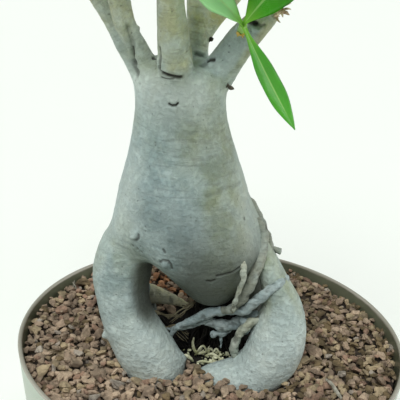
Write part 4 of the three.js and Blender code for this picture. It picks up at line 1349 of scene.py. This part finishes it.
class DESERTROSE_OT_rosettes(bpy.types.Operator):
    """Grows a rosette of leaves on the tip of each branch"""

    bl_idname = "desertrose.rosettes"
    bl_label = "Leaf rosettes"

    young_leaves = 4
    # How much shorter a leaf is than its solid, in millimetres.
    tip_gap = 0.5
    # How the shoot narrows, and how much the leaves differ in length and in rise.
    foot_share, middle_share = 0.8, 0.62
    growth_spread, rise_spread = 0.08, 8
    # How much shorter and steeper, in degrees, each of the youngest leaves is than the one before.
    young_share, young_rise = 0.72, 4
    # The bend of a blade from foot to tip, in degrees.
    bend = 26

    def execute(self, context):
        settings = context.scene.desertrose_leaf
        finish = leaf_material(settings)
        mounts = rosette_mounts()
        for index, name in enumerate(ROSETTES):
            place, turn = mounts[name]
            others = [np.array(turn.inverted() @ (mounts[o][0] - place)) for o in ROSETTES if o != name]
            points, faces, uv, youth = self.rosette(name, others, index + 1, settings)
            whole = np.array(Matrix.Translation(place * MM) @ turn.to_matrix().to_4x4())
            points = points @ whole[:3, :3].T + whole[:3, 3]
            piece = make_object("rosette_" + name, points, faces, finish, uv)
            store(piece.data, "young", youth)
            settle(piece, "leaf", "leaf_rosette_" + name)
        return {"FINISHED"}

    def room(self, aim, others, half_width):
        """How far a leaf may reach before it passes halfway to a neighbouring shoot, in millimetres."""
        rooms = [math.inf]
        for other in others:
            distance = np.linalg.norm(other)
            towards = aim @ other / distance
            if towards > 0:
                rooms.append((distance / 2 - half_width) / towards)
        return min(rooms)

    def rosette(self, name, others, seed, settings):
        leaves, scale, first_turn = ROSETTES[name]
        low_rise, low_share, low_place = LOW_LEAF
        top_rise, top_share, top_place = TOP_LEAF
        chance = repeatable(seed)
        full_length = settings.length / MM
        widest = settings.half_width / MM
        foot_radius = self.foot_share * BRANCHES[name][-1][3]
        core = [
            (0, 0, 0, foot_radius), (0, 0, SHOOT_HEIGHT / 2, self.middle_share * foot_radius),
            (0, 0, SHOOT_HEIGHT, SHOOT_TIP_RADIUS),
        ]
        shapes = [limb(core, 24, 5)]
        uv = [(0.5, 0.05)] * len(shapes[0][0])
        youth = [0.4] * len(uv)
        for index in range(leaves + self.young_leaves):
            rank = min(1, index / (leaves - 1))
            young = max(0, index - leaves + 1)
            azimuth = first_turn + index * GOLDEN_ANGLE
            growth = 1 + self.growth_spread * (2 * next(chance) - 1)
            share = (low_share + (top_share - low_share) * rank) * self.young_share ** young
            wanted = full_length * scale * growth * share
            rise = low_rise + (top_rise - low_rise) * rank
            rise += self.rise_spread * next(chance) + self.young_rise * young
            free = min(1, self.room(heading(azimuth, rise), others, widest) / wanted)
            aim = heading(azimuth, CROWDED_RISE + (rise - CROWDED_RISE) * free)
            length = min(wanted, self.room(aim, others, widest)) - self.tip_gap
            start = np.array([0, 0, SHOOT_HEIGHT * (low_place + (top_place - low_place) * rank)]) * MM
            half_width = widest * (0.2 + 0.85 * length / full_length) * MM
            rings, leaf_uv = blade(
                start, aim * length * MM, (0, 0, 1), half_width, self.bend, settings.thickness,
                index + seed)
            shapes.append(skin(rings))
            uv += leaf_uv
            youth += [min(1, 0.6 * rank ** 3 + 0.15 * young)] * len(leaf_uv)
        return *together(shapes), uv, youth


class DESERTROSE_OT_side_shoot(bpy.types.Operator):
    """Grows the small shoot with its hanging leaf on the right branch"""

    bl_idname = "desertrose.side_shoot"
    bl_label = "Side shoot"

    # The colour, the shade, the size of the patches and the roughness of each kind of scale.
    scale_finishes = {
        "bract": (0xE8D8BA, 0xA48C6C, 160.0, 0.85),
        "bud": (0xDDB85C, 0xB4A84C, 200.0, 0.6),
        "dark": (0x5B5548, 0x2B281F, 200.0, 0.85),
    }
    # How thick a scale is beside a leaf.
    scale_thickness = 0.7

    def execute(self, context):
        settings = context.scene.desertrose_leaf
        shapes = [limb(SIDE_SHOOT, 24, 8)]
        uv = [(0.5, 0.05)] * len(shapes[0][0])
        youth = [0.2] * len(uv)
        start = np.array(SIDE_SHOOT[1][:3]) * MM
        for index, (aim, face, half_width, bend, young) in enumerate(SIDE_LEAVES):
            rings, leaf_uv = blade(
                start, np.array(aim) * MM, face, half_width * MM, bend, settings.thickness, index)
            shapes.append(skin(rings))
            uv += leaf_uv
            youth += [young] * len(leaf_uv)
        piece = make_object("side_shoot_leaves", *together(shapes), leaf_material(settings), uv)
        store(piece.data, "young", youth)
        settle(piece, "leaf", "leaf_side_shoot")
        self.add_scales(settings)
        return {"FINISHED"}

    def add_scales(self, settings):
        """The dried bracts on the pruned end of the right branch, and small scales on the bark."""
        rng = random.Random(5)
        scales = list(SCALES)
        for foot in BRACT_FEET:
            for _ in range(BRACTS_PER_FOOT):
                way = (rng.uniform(-1, 8), rng.uniform(-6, 3), rng.uniform(-3, 8))
                scales.append((foot, way, rng.uniform(0.5, 1.1), "bract"))
        kinds = {kind: [] for kind in self.scale_finishes}
        for foot, way, half_width, kind in scales:
            face = (rng.uniform(-1, 1), -1, rng.uniform(0, 1))
            rings, _ = blade(
                np.array(foot) * MM, np.array(way) * MM, face, half_width * MM, rng.uniform(30, 110),
                self.scale_thickness * settings.thickness, rng.uniform(0, 6))
            kinds[kind].append(skin(rings[::2]))
        for kind, shapes in kinds.items():
            colour, shade, size, roughness = self.scale_finishes[kind]
            finish = plain_material(kind + "_scale", paint(colour), paint(shade), size, roughness)
            settle(make_object("scales_" + kind, *together(shapes), finish), "bark")


class DESERTROSE_OT_lava_grit(bpy.types.Operator):
    """Drops the crushed lava grains into the pot, round the roots"""

    bl_idname = "desertrose.lava_grit"
    bl_label = "Lava grit"

    # The grains' shapes: their number, the flat cuts of each one with their least and largest distance from
    # the middle, the height and scale of its bumps, and how it is stretched along each axis.
    shapes, cuts = 28, 13
    cut_distances = (0.42, 0.85)
    bumps = [(0.3, 1.9), (0.2, 5)]
    stretch = [(1.15, 1.7), (0.9, 1.25), (0.6, 0.85)]
    # Middle and spread of the logarithm of a grain's size, and how far it leans.
    size_spread = (-0.1, 0.3)
    lean = 0.4
    # How high above the bed the middle of the lowest grain lies, as a share of its radius, and that of the
    # highest one, in metres.
    seat_share, layer = 0.2, 0.006
    # The cells in which the neighbours of a grain are looked up, in metres.
    cell = 0.008
    # The bed under the grains: its height, its rings and sides, the gap round it and its relief.
    bed_top = 0.131
    bed_rings, bed_sides = 60, 180
    bed_gap = 0.0005
    bed_relief, bed_scale = 0.0012, 240
    # How much higher the grit lies by the wall, and the radii where it starts and stops to rise.
    bank = (0.008, 0.076, 0.118)
    # The bare hollow under the belly: its middle, its half width and depth, and how far it sinks.
    hollow_middle = (-0.008, 0.026)
    hollow_half = (0.041, 0.044)
    hollow_depth = 0.0065
    # Inside of the pot at its foot, and the thickness of its wall.
    inner_foot = 0.109
    wall = 0.003
    # Shares of the grains by tone: on the left, on the right, and added behind the belly. The dark umber
    # that takes over on the right is painted shade.
    tones = {
        "brown": (34, 24, 0), "tan": (28, 8, 0), "grey": (5, 2, 0), "ochre": (14, 24, 0), "red": (12, 8, 0),
        "umber": (7, 34, 0), "rust": (0, 0, 60),
    }
    # How near two grains come, and a grain to the plant, as a share of their radii.
    closeness, plant_gap = 0.74, 0.55
    crumbs = 130
    crumb_middle = (0.003, 0.005)
    crumb_spread = 0.008
    crumb_height = 0.1262

    def execute(self, context):
        settings = context.scene.desertrose_soil
        rng = random.Random(11)
        plant = bpy.data.objects["caudex_skin"].data
        polygons = [tuple(polygon.vertices) for polygon in plant.polygons]
        self.plant = BVHTree.FromPolygons([vertex.co for vertex in plant.vertices], polygons)
        self.add_bed(settings)
        templates = [self.stone(rng) for _ in range(self.shapes)]
        heaps = {tone: [] for tone in self.tones}
        for place, radius in self.dropped(rng, settings):
            # Towards the right the grains turn darker: painted shade.
            to_right = float(soft_step(place[0], 0.02, 0.09))
            behind = float(soft_step(place[1], 0.06, 0.08) * fade(abs(place[0] + 0.035), 0.02, 0.035))
            weights = [a + (b - a) * to_right + added * behind for a, b, added in self.tones.values()]
            tone = rng.choices(list(heaps), weights=weights)[0]
            points, faces = rng.choice(templates)
            lean = Vector((rng.gauss(0, self.lean), rng.gauss(0, self.lean), 1)).to_track_quat("Z", "Y")
            turn = (lean @ Quaternion((0, 0, 1), rng.uniform(0, 2 * math.pi))).to_matrix()
            heaps[tone].append((points @ np.array(turn).T * radius + place, faces))
        for tone, grains in heaps.items():
            finish = self.lava(tone, getattr(settings, tone))
            settle(make_object("lava_" + tone, *together(grains), finish, smooth=False), "lava_grit")
        self.add_litter(rng, templates)
        return {"FINISHED"}

    def add_litter(self, rng, templates):
        """Curled dry bits and crumbs on the earth of the hollow, and stray bits on the grit."""
        shapes = [limb(stations, 10, 6) for stations in LITTER]
        for _ in range(self.crumbs):
            points, faces = rng.choice(templates)
            turn = Quaternion([rng.gauss(0, 1) for _ in range(4)]).normalized().to_matrix()
            x, y = (rng.gauss(middle, self.crumb_spread) for middle in self.crumb_middle)
            place = (x, y, self.crumb_height + rng.uniform(0, 0.005))
            shapes.append((points @ np.array(turn).T * rng.uniform(0.0004, 0.0017) + place, faces))
        # The litter is paler than its own cream, to stand in for the light on it under the belly: partly
        # painted light.
        finish = plain_material("dry_litter", paint(0xE8EACA), paint(0x9EA274), 160.0, 0.9)
        settle(make_object("dry_litter", *together(shapes), finish), "potting_mix")
        shapes = [limb(stations, 10, 6) for stations in STRAYS]
        finish = plain_material("dry_stick", paint(0xB5B2A4), paint(0x6F6C5C), 260.0, 0.9)
        settle(make_object("stray_bits", *together(shapes), finish), "lava_grit")

    def inner_radius(self, z):
        foot = self.inner_foot
        return foot + (POT_BOX[1].x - self.wall - foot) * z / POT_BOX[1].z

    def bed_at(self, x, y):
        """How high the bed under the grains lies here."""
        rise, foot, top = self.bank
        hollow = self.hollow_depth * fade(self.from_hollow(x, y), 0.6, 1.0)
        return self.bed_top + rise * soft_step(np.hypot(x, y), foot, top) - hollow

    def add_bed(self, settings):
        # The bed shows between the grains in near-black brown, painted shade in the gaps, and turns to the
        # almost black humus, painted shade, in the hollow under the belly.
        finish = self.lava("bed", shaded(settings.brown, 0.15), settings.humus)
        radius = self.inner_radius(self.bed_top) - self.bed_gap
        turns = 2 * np.pi * np.arange(self.bed_sides) / self.bed_sides
        circle = radius * np.stack([np.cos(turns), np.sin(turns), turns * 0], 1)
        foot = (0, 0, GRIT_BOX[0].z)
        levels = [0.01 * circle + foot, circle + foot]
        for share in np.linspace(1, 0.01, self.bed_rings):
            level = share * circle
            level[:, 2] = self.bed_relief * noise_at(level, self.bed_scale)
            level[:, 2] += self.bed_at(level[:, 0], level[:, 1])
            levels.append(level)
        points, faces = skin(np.array(levels))
        bed = make_object("lava_bed", points, faces, finish)
        store(bed.data, "humus", fade(self.from_hollow(points[:, 0], points[:, 1]), 0.9, 1.1))
        settle(bed, "lava_grit", "lava_grit")

    def from_hollow(self, x, y):
        """How far a place lies from the middle of the hollow, 1 on its edge."""
        (middle_x, middle_y), (half_x, half_y) = self.hollow_middle, self.hollow_half
        return np.hypot((x - middle_x) / half_x, (y - middle_y) / half_y)

    def stone(self, rng):
        """A grain of crushed lava of radius 1, broken flat on many sides, with a rough and pitted face."""
        ball = bmesh.new()
        bmesh.ops.create_cube(ball, size=2)
        bmesh.ops.subdivide_edges(ball, edges=ball.edges[:], cuts=2, use_grid_fill=True)
        points = unit(np.array([vertex.co for vertex in ball.verts]))
        faces = [[vertex.index for vertex in face.verts] for face in ball.faces]
        ball.free()
        for _ in range(self.cuts):
            way = unit(np.array([rng.gauss(0, 1) for _ in range(3)]))
            over = np.clip(points @ way - rng.uniform(*self.cut_distances), 0, None)
            points = points - over[:, None] * way
        seat = Vector([rng.uniform(-50, 50) for _ in range(3)])
        rough = np.ones(len(points))
        for height, scale in self.bumps:
            rough += height * np.array([noise.noise(Vector(p) * scale + seat) for p in points])
        points *= rough[:, None]
        points *= [rng.uniform(*span) for span in self.stretch]
        return points, faces

    def dropped(self, rng, settings):
        """Places and radii of the grains, each one resting on those below it and clear of the plant."""
        cell = self.cell
        heap = {}
        grains = []
        for _ in range(settings.grains):
            radius = settings.grain * math.exp(rng.gauss(*self.size_spread))
            far = (self.inner_radius(GRIT_BOX[1].z) - 0.9 * radius) * math.sqrt(rng.random())
            turn = rng.uniform(0, 2 * math.pi)
            x, y = far * math.cos(turn), far * math.sin(turn)
            if self.from_hollow(x, y) < 0.95:
                continue
            column, row = math.floor(x / cell), math.floor(y / cell)
            bed = float(self.bed_at(x, y))
            z = bed + self.seat_share * radius
            near = [g for i in (-1, 0, 1) for j in (-1, 0, 1) for g in heap.get((column + i, row + j), ())]
            for other_x, other_y, other_z, other_radius in near:
                gap = (x - other_x) ** 2 + (y - other_y) ** 2
                touch = (self.closeness * (radius + other_radius)) ** 2
                if gap < touch:
                    z = max(z, other_z + math.sqrt(touch - gap))
            if z > bed + self.layer:
                continue
            place = Vector((x, y, z))
            spot, normal, _, _ = self.plant.find_nearest(place)
            if (place - spot).dot(normal) < self.plant_gap * radius:
                continue
            heap.setdefault((column, row), []).append((x, y, z, radius))
            grains.append((np.array(place), radius))
        return grains

    def lava(self, tone, colour, humus=None):
        finish, wiring, shader = material("lava_" + tone)
        place = wiring.place()
        patches = wiring.patches(place, scale=90.0, contrast=2.2)
        dark = shaded(colour, 0.62)
        light = shaded(colour, 1.4)
        holes = wiring.spots(place, scale=1100.0, size=0.45, share=0.5)
        body = wiring.tint(wiring.blend(patches, dark, light), holes, 0.5, shaded(colour, 0.3))
        if humus:
            body = wiring.blend(wiring.attribute("humus"), body, humus)
        height = wiring.minus(wiring.noise(place, 900.0, 4.0, 0.7), holes)
        wiring.dress(shader, body, 0.92, height, strength=0.6, distance=0.0005)
        return finish


class DESERTROSE_PT_panel(bpy.types.Panel):
    """Lists the pieces of the potted desert rose"""

    bl_idname = "DESERTROSE_PT_panel"
    bl_label = "Potted desert rose"
    bl_space_type = "VIEW_3D"
    bl_region_type = "UI"
    bl_category = "Desert rose"

    def draw(self, context):
        for operator in OPERATORS:
            self.layout.operator(operator.bl_idname)


SETTINGS = {
    "desertrose_stage": StageSettings,
    "desertrose_pot": PotSettings,
    "desertrose_soil": SoilSettings,
    "desertrose_bark": BarkSettings,
    "desertrose_leaf": LeafSettings,
}
OPERATORS = (
    DESERTROSE_OT_stage,
    DESERTROSE_OT_pot,
    DESERTROSE_OT_potting_mix,
    DESERTROSE_OT_caudex,
    DESERTROSE_OT_thin_roots,
    DESERTROSE_OT_rosettes,
    DESERTROSE_OT_side_shoot,
    DESERTROSE_OT_lava_grit,
)


def register():
    for group in SETTINGS.values():
        bpy.utils.register_class(group)
    for name, group in SETTINGS.items():
        setattr(bpy.types.Scene, name, PointerProperty(type=group))
    for operator in OPERATORS:
        bpy.utils.register_class(operator)
    bpy.utils.register_class(DESERTROSE_PT_panel)


def unregister():
    bpy.utils.unregister_class(DESERTROSE_PT_panel)
    for operator in reversed(OPERATORS):
        bpy.utils.unregister_class(operator)
    for name in SETTINGS:
        delattr(bpy.types.Scene, name)
    for group in reversed(SETTINGS.values()):
        bpy.utils.unregister_class(group)


def main():
    register()
    for operator in OPERATORS:
        family, name = operator.bl_idname.split(".")
        getattr(getattr(bpy.ops, family), name)()


if __name__ == "__main__":
    main()
